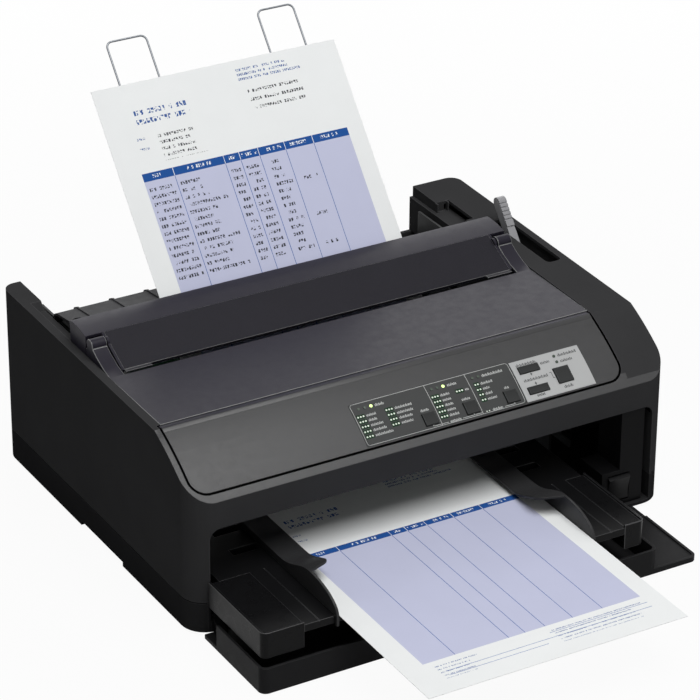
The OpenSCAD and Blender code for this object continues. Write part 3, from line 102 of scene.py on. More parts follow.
# The dark label: its frame, the lines across it, then its blocks of dots, each with its place
# across, its dots to a row, its place down, its rows and their pitch
FRAME_X = (-57.0, 80.0)
FRAME_S = (23.2, 57.9)
FRAME_CORNER = 2.2
DIVIDERS = (7.0, 42.5)
DOT_BLOCKS = (
    (-54.7, 3, 34.4, 5, 4.2), (-30.6, 3, 34.6, 4, 4.2), (9.2, 3, 34.6, 5, 4.27),
    (30.2, 3, 35.2, 1, 4.0), (47.0, 2, 34.0, 4, 4.43),
)
DOT_PITCH = 2.3

# Generic words: first and last place across and the place down. The titles come first
TITLES = 3
LABEL_WORDS = (
    (-37.4, -29.5, 28.0), (25.2, 33.0, 28.0), (55.6, 73.8, 28.0), (-47.6, -39.8, 34.4),
    (-47.6, -40.4, 38.6), (-47.6, -37.2, 42.8), (-47.6, -36.4, 47.0), (-47.6, -32.6, 51.2),
    (-23.4, -9.2, 34.6), (-23.4, -9.8, 38.8), (-23.4, -12.2, 43.0), (-23.4, -13.6, 47.2),
    (16.0, 23.6, 34.6), (16.0, 23.2, 38.9), (16.0, 23.4, 43.1), (16.0, 23.0, 47.4),
    (16.0, 24.0, 51.7), (37.4, 40.4, 35.2), (51.6, 62.2, 34.0), (51.6, 57.2, 38.4),
    (51.6, 57.6, 42.9), (51.6, 59.4, 47.3), (-5.2, 2.4, 42.6), (30.8, 38.0, 42.6),
    (68.2, 72.6, 42.6), (14.4, 23.6, 56.6), (51.4, 60.6, 56.6),
)
PLATE_WORDS = (
    (86.0, 103.4, 28.0), (106.4, 114.2, 30.9), (123.2, 140.2, 28.2), (123.2, 134.0, 33.4),
    (86.4, 108.2, 41.6), (91.6, 99.0, 55.2), (116.4, 124.0, 54.4),
)

# Under the keys of the dark label: a broken line, its end marks and a pair of dots
KEY_LINE_S = 56.75
KEY_LINES = ((0.6, 12.8), (25.2, 34.6), (36.2, 42.0), (62.2, 70.4))
KEY_MARKS, KEY_MARK_S = (0.0, 35.4, 71.0), (55.7, 56.9)
KEY_DOTS, KEY_DOT_S, KEY_DOT_R = (46.2, 48.4), 56.7, 0.5

# On the silver label: the diamonds between its keys, and the bent line to the third
DIAMOND_X, DIAMONDS = 95.0, (37.4, 45.6)
BENT_LINE = (
    (109.6, 111.4, 40.2, 40.6), (111.0, 111.4, 40.2, 45.4), (111.0, 112.6, 45.0, 45.4),
)

# The lamps that are lit, across the panel
LIT_LAMPS = (-40.7, 21.6)

# The plane of the rear sheet, from the platen's nip up the tilt, half the thickness of its CAD
# solid, and the height of the front sheet
NIP_Y, NIP_Z, TILT = -3.35, 110.09, radians(49.6)
HALF_CAD_SHEET = 0.15
TRAY_Z = 46.25

# A sheet and the form on it, from the sheet's left and top edges. A foot line has its place down
# and its two ends
LETTER = (216.0, 279.4)
FORM_COLUMNS = (45.0, 89.5, 103.2, 120.0, 143.5, 168.8)
FORM_LEFT, FORM_RIGHT = 18.5, 201.3
FORM_BAND, FORM_SHADE, FORM_FOOT = 72.6, 79.2, 240.6
FOOT_LINES = ((249.5, 118.0, 201.0), (255.5, 28.0, 201.0), (261.0, 28.0, 110.0))
FOOT_CUTS = (118.0, 28.0, 110.0)
HALF_COLUMN_LINE, HALF_FOOT_LINE = 0.22, 0.2


# ------------------------ sizes and colours


def mm(*values):
    return [value * MM for value in values]


def linear(code):
    """A colour code such as 4a4a4c as a linear colour."""
    channels = [int(code[i : i + 2], 16) / 255 for i in (0, 2, 4)]
    return [c / 12.92 if c <= 0.04045 else ((c + 0.055) / 1.055) ** 2.4 for c in channels]


def colour(name, code, description):
    return FloatVectorProperty(
        name=name, description=description, subtype="COLOR", size=3, min=0.0, max=1.0,
        default=linear(code),
    )


def length(name, millimetres, description, soft_max=0.5):
    return FloatProperty(
        name=name, description=description, default=millimetres * MM, min=0.0,
        soft_max=soft_max, subtype="DISTANCE", unit="LENGTH", precision=5,
    )


class PrinterSizes(bpy.types.PropertyGroup):
    """Sizes of the finishes and of the printed pieces"""

    grain: length("Grain", 0.55, "Size of the grain of moulded plastic")
    edge: length("Edge radius", 0.6, "Radius of the edges that catch the light")
    ink: length("Ink height", 0.05, "Height of the marks over their label")
    line: length("Line width", 0.35, "Width of the label's lines")
    case_edge: length("Case edges", 0.6, "Rounding of the case's edges")
    dot: length("Dot radius", 0.74, "Radius of the label's dots")
    paper: length("Paper thickness", 0.28, "Thickness of a sheet of paper")
    curl: length("Paper curl", 0.9, "How far the rear sheet bows out of flat")
    row: length("Row height", 6.05, "Distance between the form's rows")
    floor: length("Floor", 12000.0, "Width of the floor", 20.0)


class PrinterColours(bpy.types.PropertyGroup):
    """Colours of the finishes"""

    case: colour("Case", "29292a", "Moulded plastic of the lower case")
    deck: colour("Deck", "39393a", "Moulded plastic of the upper case")
    panel: colour("Panel", "272728", "Satin plastic of the control panel")
    label: colour("Label", "393a3a", "Dark label under the small keys")
    silver: colour("Silver label", "9a9b9b", "Silver label under the large keys")
    key: colour("Keys", "2c2d2d", "Rubber keys")
    smoked: colour("Smoked cover", "24222b", "Smoked plastic of the covers")
    cover: colour("Front cover", "222223", "Plastic of the front cover and the carriage")
    tear: colour("Tear-off bar", "1b1a20", "Speckled plastic of the tear-off bar")
    block: colour("Guide blocks", "101011", "Glossy plastic of the front guide and its blocks")
    frame: colour("Side frames", "232425", "Black sheet steel of the mechanism's sides")
    switch: colour("Switch", "111112", "Plastic of the power switch and its panel")
    guide: colour("Guides", "2b2b2d", "Plastic of the rear guide, tractors and knob")
    edge_guide: colour("Edge guides", "2e2e2f", "Plastic of the sliding edge guides")
    lever: colour("Lever", "8a8a8d", "Plastic of the release lever")
    rubber: colour("Rubber", "171718", "Black of feet, rollers, belt and sockets")
    steel: colour("Steel", "a9acb0", "Ground steel of rods, pins and screws")
    wire: colour("Wire", "6e7175", "Bright wire of the sheet support")
    sheet_metal: colour("Sheet metal", "8f9396", "Plated sheet of base, motors and cage")
    head: colour("Print head", "6e7073", "Cast heat sink of the print head")
    board: colour("Circuit board", "1d5a34", "Solder mask of the circuit boards")
    bush: colour("Bushes", "b9b39c", "Bearing plastic of bushes and gears")
    paper: colour("Paper", "eef0f0", "White of the sheets")
    band: colour("Form band", "1b4f96", "Blue band across the form")
    shade: colour("Form shading", "c3c6de", "Pale shading of the form")
    ink: colour("Ink", "282930", "Ink of the printed rows")
    mark: colour("Label marks", "b4b6b4", "Lines and words of the dark label")
    dark_mark: colour("Plate marks", "242526", "Words of the silver label")
    dot_field: colour("Dot field", "16331d", "Field under the dots")
    dot: colour("Dots", "dfe9dc", "Dots of the dark label")
    lamp_off: colour("Lamp, off", "2b3a2c", "Lens of a lamp that is off")
    lamp_on: colour("Lamp, lit", "d9f59a", "Lens of a lamp that is lit")


def sizes():
    return bpy.context.scene.printer_sizes


def colours():
    return bpy.context.scene.printer_colours


# ------------------------ materials


def shade_tree(name):
    """A new material with its node tree and its shader."""
    material = bpy.data.materials.new(name)
    material.use_nodes = True
    tree = material.node_tree
    return material, tree, tree.nodes["Principled BSDF"]


def plug(tree, made, **values):
    """Gives a node its settings and its inputs, which may be other nodes' outputs."""
    for key, value in values.items():
        if key.startswith("at_"):
            socket = made.inputs[int(key[3:])]
        elif hasattr(made, key) and key not in made.inputs:
            setattr(made, key, value)
            continue
        else:
            socket = made.inputs[key.replace("_", " ")]
        if isinstance(value, bpy.types.NodeSocket):
            tree.links.new(value, socket)
        else:
            socket.default_value = value
    return made


def node(tree, kind, **values):
    return plug(tree, tree.nodes.new(f"ShaderNode{kind}"), **values)


def maths(tree, operation, *values):
    """The result of an operation on other nodes' outputs and numbers."""
    inputs = {f"at_{n}": value for n, value in enumerate(values)}
    return node(tree, "Math", operation=operation, **inputs).outputs[0]


def object_place(tree):
    return node(tree, "TexCoord").outputs["Object"]


def noise(tree, where, size, detail=2.0, roughness=0.5):
    """Noise whose blots are about size metres across."""
    return node(
        tree, "TexNoise", Vector=where, Scale=1.0 / size, Detail=detail, Roughness=roughness
    ).outputs[0]


def chance(tree, number):
    """A random share for each whole number."""
    return node(tree, "TexWhiteNoise", noise_dimensions="1D", W=number).outputs[0]


def spread(tree, value, low, high, from_low=0.3, from_high=0.7):
    """A range of the value, or a noise's middle range, spread between low and high."""
    return node(
        tree, "MapRange", at_0=value, at_1=from_low, at_2=from_high, at_3=low, at_4=high
    ).outputs[0]


def blend_colours(tree, share, first, second):
    made = node(tree, "Mix", data_type="RGBA", at_0=share)
    for at, value in ((6, first), (7, second)):
        whole = value if isinstance(value, bpy.types.NodeSocket) else (*value[:3], 1.0)
        plug(tree, made, **{f"at_{at}": whole})
    return made.outputs[2]


def scaled(tint, share):
    return [min(1.0, c * share) for c in tint]


def finish(
    name, tint, roughness, grain=0.0, bump=0.03, wear=0.06, metallic=0.0, coat=0.0,
    stretch=(1.0, 1.0, 1.0), edge=None, specular=0.5, rubbed=0.0, speckle=2.5,
):
    """A procedural finish: grain and bump of the moulding or the grinding, slow drifts of tone and
    gloss, and round edges made pale by a painted highlight."""
    material, tree, shader = shade_tree(name)
    where = object_place(tree)
    turned = node(tree, "Mapping", Vector=where, Scale=stretch).outputs[0]
    grain = grain or sizes().grain
    blot, streak = 0.045, grain * 14
    fine = noise(tree, turned, grain, 3.0, 0.6)
    drift = noise(tree, where, blot, 3.0, 0.55)
    smear = noise(tree, turned, streak, 4.0, 0.6)
    tone = blend_colours(
        tree, spread(tree, drift, 0.0, 1.0), scaled(tint, 1 - wear), scaled(tint, 1 + wear)
    )
    pale = scaled(tint, 1 + speckle * wear)
    tone = blend_colours(tree, spread(tree, fine, 0.0, 0.5), tone, pale)
    gloss = maths(tree, "ADD", spread(tree, smear, -0.05, 0.05), roughness)
    gloss = maths(tree, "ADD", gloss, spread(tree, fine, -0.03, 0.03))
    radius = sizes().edge if edge is None else edge
    normal = node(tree, "Bevel", samples=6, Radius=radius).outputs[0]
    # Painted highlight: near the edges, where the rounded normal turns away from the face, the
    # colour is lightened towards a pale tint
    if rubbed:
        face = node(tree, "NewGeometry").outputs["Normal"]
        turn = node(tree, "VectorMath", operation="DOT_PRODUCT", at_0=face, at_1=normal)
        share = spread(tree, turn.outputs["Value"], rubbed, 0.0, 0.9, 0.995)
        tone = blend_colours(tree, share, tone, scaled(tint, 3.6))
    skin = node(tree, "Bump", Strength=1.0, Distance=bump * MM, Height=fine, Normal=normal)
    plug(
        tree, shader, Base_Color=tone, Roughness=gloss, Normal=skin.outputs[0], Metallic=metallic,
        Specular_IOR_Level=specular, Coat_Weight=coat, Coat_Roughness=0.1,
    )
    return material


def put_on(material, names):
    """Gives CAD nodes, named in one line, a material."""
    for name in names.split():
        slots = frame["nodes"][name].data.materials
        slots.clear()
        slots.append(material)


def dress(names, *look, **settings):
    """Gives CAD nodes, named in one line, a finish of their own."""
    put_on(finish(*look, **settings), names)


# ------------------------ modelling helpers


def leave():
    bpy.ops.object.mode_set(mode="OBJECT")


def deselect():
    if bpy.context.object and bpy.context.object.mode != "OBJECT":
        leave()
    bpy.ops.object.select_all(action="DESELECT")


def pick(obj):
    """Selects the object alone and makes it the active one."""
    deselect()
    obj.select_set(True)
    bpy.context.view_layer.objects.active = obj


def edit(obj):
    """Opens the object's mesh with all of it selected."""
    pick(obj)
    bpy.ops.object.mode_set(mode="EDIT")
    bpy.ops.mesh.select_all(action="SELECT")


def settle(obj):
    """Puts the object's place, turn and scale in its mesh."""
    pick(obj)
    bpy.ops.object.transform_apply(location=True, rotation=True, scale=True)
    return obj


def named(name):
    """The object that was just made, with its name."""
    obj = bpy.context.object
    obj.name = name
    obj.data.name = name
    return obj


def applied(obj, kind, **settings):
    """Adds a modifier and applies it."""
    pick(obj)
    bpy.ops.object.modifier_add(type=kind)
    modifier = obj.modifiers[-1]
    for name, value in settings.items():
        setattr(modifier, name, value)
    bpy.ops.object.modifier_apply(modifier=modifier.name)
    return obj


def carved(obj, cutter, operation="DIFFERENCE"):
    """Cuts, adds or keeps what the cutter takes in, and deletes the cutter."""
    applied(obj, "BOOLEAN", operation=operation, solver="EXACT", object=cutter)
    bpy.data.objects.remove(cutter)
    return obj


def smoothed(obj, degrees):
    """Smooth shading, but for edges that turn by more than the angle."""
    pick(obj)
    bpy.ops.object.shade_smooth_by_angle(angle=radians(degrees))
    return obj


def outward(obj):
    """Turns all faces outwards."""
    edit(obj)
    bpy.ops.mesh.normals_make_consistent(inside=False)
    leave()
    return obj


def slice_across(direction, places):
    """Cuts the open mesh through at each place along the direction."""
    for place in places:
        bpy.ops.mesh.select_all(action="SELECT")
        point = [place * MM * part for part in direction]
        bpy.ops.mesh.bisect(plane_co=point, plane_no=direction)


def copy_of(node_name):
    """A clean copy of a CAD part's mesh: one closed skin with its flat faces whole."""
    name = f"{node_name}_moulding"
    piece = bpy.data.objects.new(name, frame["nodes"][node_name].data.copy())
    piece.data.name = name
    bpy.context.scene.collection.objects.link(piece)
    edit(piece)
    bpy.ops.mesh.customdata_custom_splitnormals_clear()
    bpy.ops.mesh.remove_doubles(threshold=0.000005)
    bpy.ops.mesh.dissolve_limited(angle_limit=radians(0.4))
    leave()
    return piece


def eased(piece, node_name, body, slot, width, face, edge, others=(), place=None):
    """Rounds off the piece's sharp edges, gives its faces and its edges their finishes, and lets it
    stand for the CAD part on that body; slot is not used. place says which finish a face takes of
    several."""
    piece.data.materials.clear()
    for material in (face, edge, *others):
        piece.data.materials.append(material)
    for polygon in piece.data.polygons:
        polygon.material_index = place(polygon) if place else 0
    # The bevel's faces take the edge finish, a paler colour that paints a highlight along the edges
    applied(
        piece, "BEVEL", width=width * MM, segments=2, limit_method="ANGLE",
        angle_limit=radians(32), use_clamp_overlap=True, material=1, miter_outer="MITER_ARC",
    )
    smoothed(piece, 34)
    applied(piece, "WEIGHTED_NORMAL", mode="FACE_AREA", weight=50, keep_sharp=True)
    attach(piece, body)
    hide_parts(node_name)


def prism(x, y, z):
    """A block between two places on each axis, in millimetres."""
    deselect()
    middle = mm(*(sum(ends) / 2 for ends in (x, y, z)))
    bpy.ops.mesh.primitive_cube_add(size=1.0, location=middle)
    block = named("prism")
    block.scale = mm(*(b - a for a, b in (x, y, z)))
    return settle(block)


def round_uprights(block, is_rounded, radius, segments):
    """Rounds a block's upright edges whose two ends are where is_rounded says."""
    for edge in block.data.edges:
        a, b = (block.data.vertices[v].co for v in edge.vertices)
        upright = abs(a.x - b.x) < MM and abs(a.z - b.z) > MM
        edge.select = upright and is_rounded(a) and is_rounded(b)
    for face in block.data.polygons:
        face.select = False
    bpy.ops.object.mode_set(mode="EDIT")
    bpy.ops.mesh.select_mode(type="EDGE")
    bpy.ops.mesh.bevel(offset=radius * MM, segments=segments, offset_type="OFFSET")
    leave()
    return block


def arc_drum(x0, x1, radius, name):
    """A drum on the axis of the panel's arc, from x0 to x1."""
    deselect()
    bpy.ops.mesh.primitive_cylinder_add(
        vertices=720, radius=radius * MM, depth=(x1 - x0) * MM, rotation=(0.0, pi / 2, 0.0),
        location=mm((x0 + x1) / 2, PANEL_Y, PANEL_Z),
    )
    return settle(named(name))


def arc_block(x0, x1, depth):
    """A wall of that depth under the panel's curved face, from x0 to x1."""
    wall = arc_drum(x0, x1, PANEL_R, "arc_block")
    return carved(wall, arc_drum(x0 - 1.0, x1 + 1.0, PANEL_R - depth, "arc_bore"))


def front_outline():
    """A block with the case's upright front corners."""
    back, height = -100.0, (90.0, 150.0)
    middle = (back - CASE_FRONT) / 2 * MM
    block = prism((-CASE_HALF, CASE_HALF), (-CASE_FRONT, back), height)
    return round_uprights(block, lambda end: end.y < middle, CASE_CORNER, 24)


def panel_plan(gap):
    """A block over the panel's outline, grown by gap, with its lower corners rounded."""
    middle, upper = 30.0, 44.0
    turn = radians(PANEL_A0 + PANEL_RATE * middle)
    y, z = PANEL_Y - PANEL_R * sin(turn), PANEL_Z + PANEL_R * cos(turn)
    foot = PANEL_R * sin(radians(PANEL_RATE * (middle + gap)))
    deselect()
    bpy.ops.mesh.primitive_cube_add(size=1.0)
    block = named("panel_plan")
    block.scale = mm(PANEL_X[1] - PANEL_X[0] + 2 * gap, foot + upper, 40.0)
    settle(block)
    round_uprights(block, lambda end: end.y < 0, PANEL_CORNER + gap, 12)
    rise = (upper - foot) / 2
    block.location = mm(sum(PANEL_X) / 2, y + cos(turn) * rise, z + sin(turn) * rise)
    block.rotation_euler = (turn, 0.0, 0.0)
    return settle(block)


def on_panel(x, s, h):
    """The place of panel coordinates: across, down the slope and out of the face."""
    turn = radians(PANEL_A0 + s * PANEL_RATE)
    reach = PANEL_R + h
    return Vector((x, PANEL_Y - reach * sin(turn), PANEL_Z + reach * cos(turn)))


def on_sheet(x, t, off):
    """The place of rear sheet coordinates: across, up from the nip and to the back."""
    slope, rise = cos(TILT), sin(TILT)
    return Vector((x, NIP_Y + t * slope + off * rise, NIP_Z + t * rise - off * slope))


def laid(obj, place):
    """Carries each point of a flat piece to where place says."""
    for vertex in obj.data.vertices:
        vertex.co = place(*(c / MM for c in vertex.co)) * MM
    obj.data.update()
    return obj


class Stamps:
    """Flat marks gathered in one mesh in edit mode: bars and dots, each with its ink, between two
    heights."""

    def __init__(self, name, inks, low, high):
        self.low, self.high = low, high
        deselect()
        bpy.ops.mesh.primitive_plane_add(size=MM, location=(0, 0, 0))
        self.obj = named(name)
        for ink in inks:
            self.obj.data.materials.append(ink)
        edit(self.obj)
        bpy.ops.mesh.delete(type="VERT")

    def ink(self, slot):
        self.obj.active_material_index = slot
        bpy.ops.object.material_slot_assign()
        bpy.ops.mesh.select_all(action="DESELECT")

    def bar(self, x0, x1, y0, y1, slot=0, raised=0.0):
        z0, z1 = self.low, self.high + raised
        bpy.ops.mesh.primitive_cube_add(
            size=1.0, location=mm((x0 + x1) / 2, (y0 + y1) / 2, (z0 + z1) / 2),
            scale=mm(x1 - x0, y1 - y0, z1 - z0),
        )
        self.ink(slot)

    def dot(self, x, y, radius, slot=0, sides=10, raised=0.0):
        z0, z1 = self.low, self.high + raised
        bpy.ops.mesh.primitive_cylinder_add(
            vertices=sides, radius=radius * MM, depth=(z1 - z0) * MM,
            location=mm(x, y, (z0 + z1) / 2),
        )
        self.ink(slot)

    def word(self, x0, x1, y, height, seed=0):
        """Generic short strokes where a printed word stands."""
        x, step = x0, 0
        while x < x1 - 0.3:
            wide = (0.5, 0.72, 0.42, 0.6)[(step * 3 + seed) % 4] * height / 2.0
            tall = height * (0.72, 1.0, 0.72, 0.86)[(step + seed * 2) % 4]
            self.bar(x, min(x + wide, x1), y + height / 2 - tall, y + height / 2)
            x += wide + 0.22 * height
            step += 1

    def frame_lines(self, x0, x1, y0, y1, corner, line):
        """A line round a rectangle with rounded corners, in straight bars and rows of dots."""
        for y in (y0, y1):
            self.bar(x0 + corner, x1 - corner, y - line / 2, y + line / 2)
        for x in (x0, x1):
            self.bar(x - line / 2, x + line / 2, y0 + corner, y1 - corner)
        steps = 7
        for cx, cy, start in (
            (x0 + corner, y0 + corner, 180), (x1 - corner, y0 + corner, 270),
            (x1 - corner, y1 - corner, 0), (x0 + corner, y1 - corner, 90),
        ):
            for step in range(steps + 1):
                a = radians(start + 90 * step / steps)
                self.dot(cx + corner * cos(a), cy + corner * sin(a), line * 0.62, sides=8)

    def done(self):
        """The marks, cut across every 2.5 mm and laid on the curved panel."""
        slice_across((0.0, 1.0, 0.0), [LABEL_START + 2.5 * n for n in range(1, 15)])
        leave()
        return outward(laid(self.obj, on_panel))


# ------------------------ finishes of the CAD nodes


class PRINTER_OT_case_finish(bpy.types.Operator):
    """Finish the case, its feet, screws and switch"""

    bl_idname = "printer.case_finish"
    bl_label = "Case"

    def execute(self, context):
        c = colours()
        # The case mouldings take a painted highlight along their edges
        moulded = dict(bump=0.09, specular=0.0, rubbed=0.4)
        dress("lower_case", "case_plastic", c.case, 0.5, **moulded)
        deck = finish("deck_plastic", c.deck, 0.45, edge=0.0009, **moulded)
        # The bevels take a paler copy of the deck's colour: a painted highlight along the edges
        edge = finish("deck_edge_highlight", scaled(c.deck, 3.2), 0.4, bump=0.05, specular=0.3)
        case = copy_of("upper_case")
        self.set_out_panel(case)
        satin = dict(grain=0.0004, bump=0.05, specular=0.42)
        rim = finish("rim_satin", scaled(c.panel, 1.15), 0.34, **satin)
        # Painted shade: the walls and floor of the recess under the panel take a near-black, matte
        # finish
        recess = finish("recess_painted_shade", scaled(c.block, 0.5), 0.8, bump=0.05, specular=0.0)
        width = sizes().case_edge / MM
        eased(
            case, "upper_case", "printer", "case", width, deck, edge, (rim, recess), self.case_place
        )
        dress("rubber_feet", "foot_rubber", c.rubber, 0.8, grain=0.0009, bump=0.12)
        dress(
            "case_screws", "screw_steel", c.steel, 0.32, grain=0.0006, bump=0.02, metallic=1.0
        )
        # The switch panel and the rocker take a painted highlight along their edges
        dress(
            "switch_panel", "switch_plastic", c.switch, 0.4, grain=0.0007,
            specular=0.05, rubbed=0.5,
        )
        dress(
            "power_switch", "rocker_plastic", c.switch, 0.35, grain=0.0008, bump=0.015,
            specular=0.1, rubbed=0.4,
        )
        return {"FINISHED"}

    @staticmethod
    def case_place(polygon):
        """The rim round the panel is satin, and the recess under the panel is dark with painted
        shade.
        """
        deck, rim, recess = 0, 2, 3
        back, foot, floor, face = -112.6, 111.3, -4.5, -0.12
        middle_x, middle_y, margin, upright = sum(PANEL_X) / 2, -145.0, PANEL_GAP + 0.3, 0.3
        x, y, z = (v / MM for v in polygon.center)
        high = hypot(y - PANEL_Y, z - PANEL_Z) - PANEL_R
        if y > back or z < foot or high < floor:
            return deck
        if high > face and polygon.normal.z > upright:
            return rim if x < PANEL_X[1] else deck
        inside = PANEL_X[0] - margin < x < PANEL_X[1] + margin
        out = polygon.normal.x * (x - middle_x) + polygon.normal.y * (y - middle_y)
        outer = abs(polygon.normal.z) < upright and out > 0.0
        return recess if inside and high < face and not outer else deck

    @staticmethod
    def set_out_panel(case):
        """Rounds the lower corners of the panel's recess and clears the strip behind it."""
        left, right = PANEL_X[0] - PANEL_GAP, PANEL_X[1] + PANEL_GAP
        overlap, depth, reach = 0.8, 2.6, PANEL_CORNER + 2 * PANEL_GAP + 1.0
        everywhere, foot, height = (-400.0, 400.0), (-PANEL_FOOT - 2.4, -151.0), (100.0, 140.0)
        for x in ((left - overlap, left + reach), (right - reach, right + overlap)):
            corner = arc_block(*x, depth)
            carved(corner, prism(everywhere, foot, height), "INTERSECT")
            carved(corner, front_outline(), "INTERSECT")
            carved(corner, panel_plan(PANEL_GAP))
            carved(case, corner, "UNION")
        strip_y, strip_z = (-121.0, -112.7), (146.9, 150.0)
        carved(case, prism((left, right), strip_y, strip_z))


class PRINTER_OT_panel_finish(bpy.types.Operator):
    """Finish the control panel, its labels, keys and lamps"""

    bl_idname = "printer.panel_finish"
    bl_label = "Control panel"

    def execute(self, context):
        c = colours()
        satin = finish("panel_satin", c.panel, 0.34, grain=0.0004, wear=0.04, specular=0.4)
        # The bevels take a paler copy of the panel's colour: a painted highlight along the edges
        edge = finish("panel_edge_highlight", scaled(c.panel, 1.6), 0.3, bump=0.02, specular=0.4)
        whole = copy_of("control_panel")
        panel = carved(whole, panel_plan(-0.3), "INTERSECT")
        eased(panel, "control_panel", "printer", "panel", 0.35, satin, edge)
        crest = self.crest(satin, bpy.data.materials["smoked_plastic"])
        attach(crest, "printer")
        film = dict(grain=0.0004, wear=0.03, edge=0.0002)
        dress("key_label", "label_film", c.label, 0.42, bump=0.02, specular=0.16, **film)
        dress(
            "key_plate", "silver_film", c.silver, 0.4, bump=0.015, metallic=0.25,
            stretch=(0.12, 1.0, 1.0), **film,
        )
        # The keys take a painted highlight along their edges
        dress(
            "eject_button feed_button pause_button font_button pitch_button menu_button",
            "key_rubber", c.key, 0.5, grain=0.0004, edge=0.0004, specular=0.12,
            rubbed=0.8,
        )
        boards = "panel_board main_board"
        dress(boards, "board_mask", c.board, 0.35, grain=0.002, bump=0.02, coat=0.4)
        put_on(self.lamps(c), "indicator_lenses")
        return {"FINISHED"}

    @staticmethod
    def crest(satin, smoked):
        """The panel's rounded top, which rolls over from its face to the cover's front edge."""
        steps = len(CREST_LINE) - 1
        deselect()
        bpy.ops.mesh.primitive_grid_add(x_subdivisions=1, y_subdivisions=steps, size=1.0)
        crest = named("control_panel_crest")
        for vertex in crest.data.vertices:
            y, z = CREST_LINE[round((vertex.co.y + 0.5) * steps)]
            vertex.co = mm(PANEL_X[vertex.co.x > 0], y, z)
        crest.data.materials.append(satin)
        crest.data.materials.append(smoked)
        for face in crest.data.polygons:
            face.material_index = int(face.center.y > CREST_SPLIT * MM)
        applied(crest, "SOLIDIFY", thickness=0.8 * MM, offset=-1.0)
        applied(
            crest, "BEVEL", width=0.25 * MM, segments=2, limit_method="ANGLE",
            angle_limit=radians(40),
        )
        return smoothed(crest, 50)

    @staticmethod
    def lamps(c):
        """Clear lenses, two of them lit, told apart by their place along the panel."""
        material, tree, shader = shade_tree("lamp_lens")
        where = object_place(tree)
        across = node(tree, "SeparateXYZ", Vector=where).outputs[0]
        reach = 2.2 * MM
        lit = [maths(tree, "COMPARE", across, x * MM, reach) for x in LIT_LAMPS]
        lit = maths(tree, "MAXIMUM", *lit)
        fine = noise(tree, where, 0.0005)
        off = blend_colours(tree, fine, scaled(c.lamp_off, 0.8), scaled(c.lamp_off, 1.2))
        tone = blend_colours(tree, lit, off, c.lamp_on)
        plug(
            tree, shader, Base_Color=tone, Emission_Color=tone, Coat_Weight=0.6,
            Emission_Strength=maths(tree, "MULTIPLY", lit, 1.1),
            Roughness=spread(tree, fine, 0.15, 0.25),
        )
        return material


class PRINTER_OT_cover_finish(bpy.types.Operator):
    """Finish the covers, the guides and the lever"""

    bl_idname = "printer.cover_finish"
    bl_label = "Covers and guides"

    def execute(self, context):
        c = colours()
        smoked = finish(
            "smoked_plastic", c.smoked, 0.36, grain=0.0005, bump=0.035, wear=0.04, specular=0.1
        )
        # The edge finishes are paler than their faces, a pale grey for the smoked covers, and go on
        # the bevels as a painted highlight
        smoked_edge_highlight = finish("smoked_edge_highlight", scaled(c.silver, 0.42), 0.3)
        tear = finish(
            "tear_off_plastic", c.tear, 0.4, grain=0.0011, bump=0.12, wear=0.1, specular=0.1,
            speckle=6.0,
        )
        cover = finish("front_cover_plastic", c.cover, 0.42, bump=0.07, specular=0.03)
        cover_edge_highlight = finish(
            "front_cover_edge_highlight", scaled(c.cover, 2.2), 0.35, bump=0.04, specular=0.4
        )
        glossy = dict(grain=0.0007, specular=0.08)
        guide = finish("front_guide_plastic", c.block, 0.36, bump=0.04, **glossy)
        block = finish("block_plastic", c.block, 0.3, **glossy)
        block_edge_highlight = finish("block_edge_highlight", scaled(c.block, 3.2), 0.3, bump=0.02)
        arm = finish("edge_guide_plastic", c.edge_guide, 0.34, bump=0.04, specular=0.15)
        arm_edge_highlight = finish("edge_guide_edge_highlight", scaled(c.edge_guide, 1.8), 0.34, specular=0.4)
        for node_name, body, width, face, edge, slot in (
            ("top_cover", "top_cover", 0.7, smoked, smoked_edge_highlight, "smoked"),
            ("hood", "printer", 0.6, smoked, smoked_edge_highlight, "smoked"),
            ("tear_off_bar", "printer", 0.5, tear, smoked_edge_highlight, "smoked"),
            ("front_cover", "front_cover", 0.6, cover, cover_edge_highlight, "cover"),
            ("front_guide", "printer", 0.4, guide, block_edge_highlight, "guide"),
            ("left_guide_block", "printer", 0.6, block, block_edge_highlight, "guide"),
            ("right_guide_block", "printer", 0.6, block, block_edge_highlight, "guide"),
            ("left_edge_guide", "left_edge_guide", 0.4, arm, arm_edge_highlight, "edge_guide"),
            ("right_edge_guide", "right_edge_guide", 0.4, arm, arm_edge_highlight, "edge_guide"),
        ):
            eased(copy_of(node_name), node_name, body, slot, width, face, edge)
        # The rear guide, stay and support take a painted highlight along their edges
        dress(
            "rear_guide rear_stay sheet_support", "rear_guide_plastic", c.guide, 0.5, bump=0.08,
            specular=0.1, rubbed=0.4,
        )
        dress("release_lever", "lever_plastic", c.lever, 0.4, bump=0.05)
        dress(
            "support_wires", "support_wire", c.wire, 0.3, grain=0.0004, bump=0.006, edge=0.0,
            metallic=1.0,
        )
        dress(
            "hinge_pins lever_pin", "pin_steel", c.steel, 0.25, grain=0.0005, bump=0.01,
            edge=0.0002, metallic=1.0,
        )
        return {"FINISHED"}


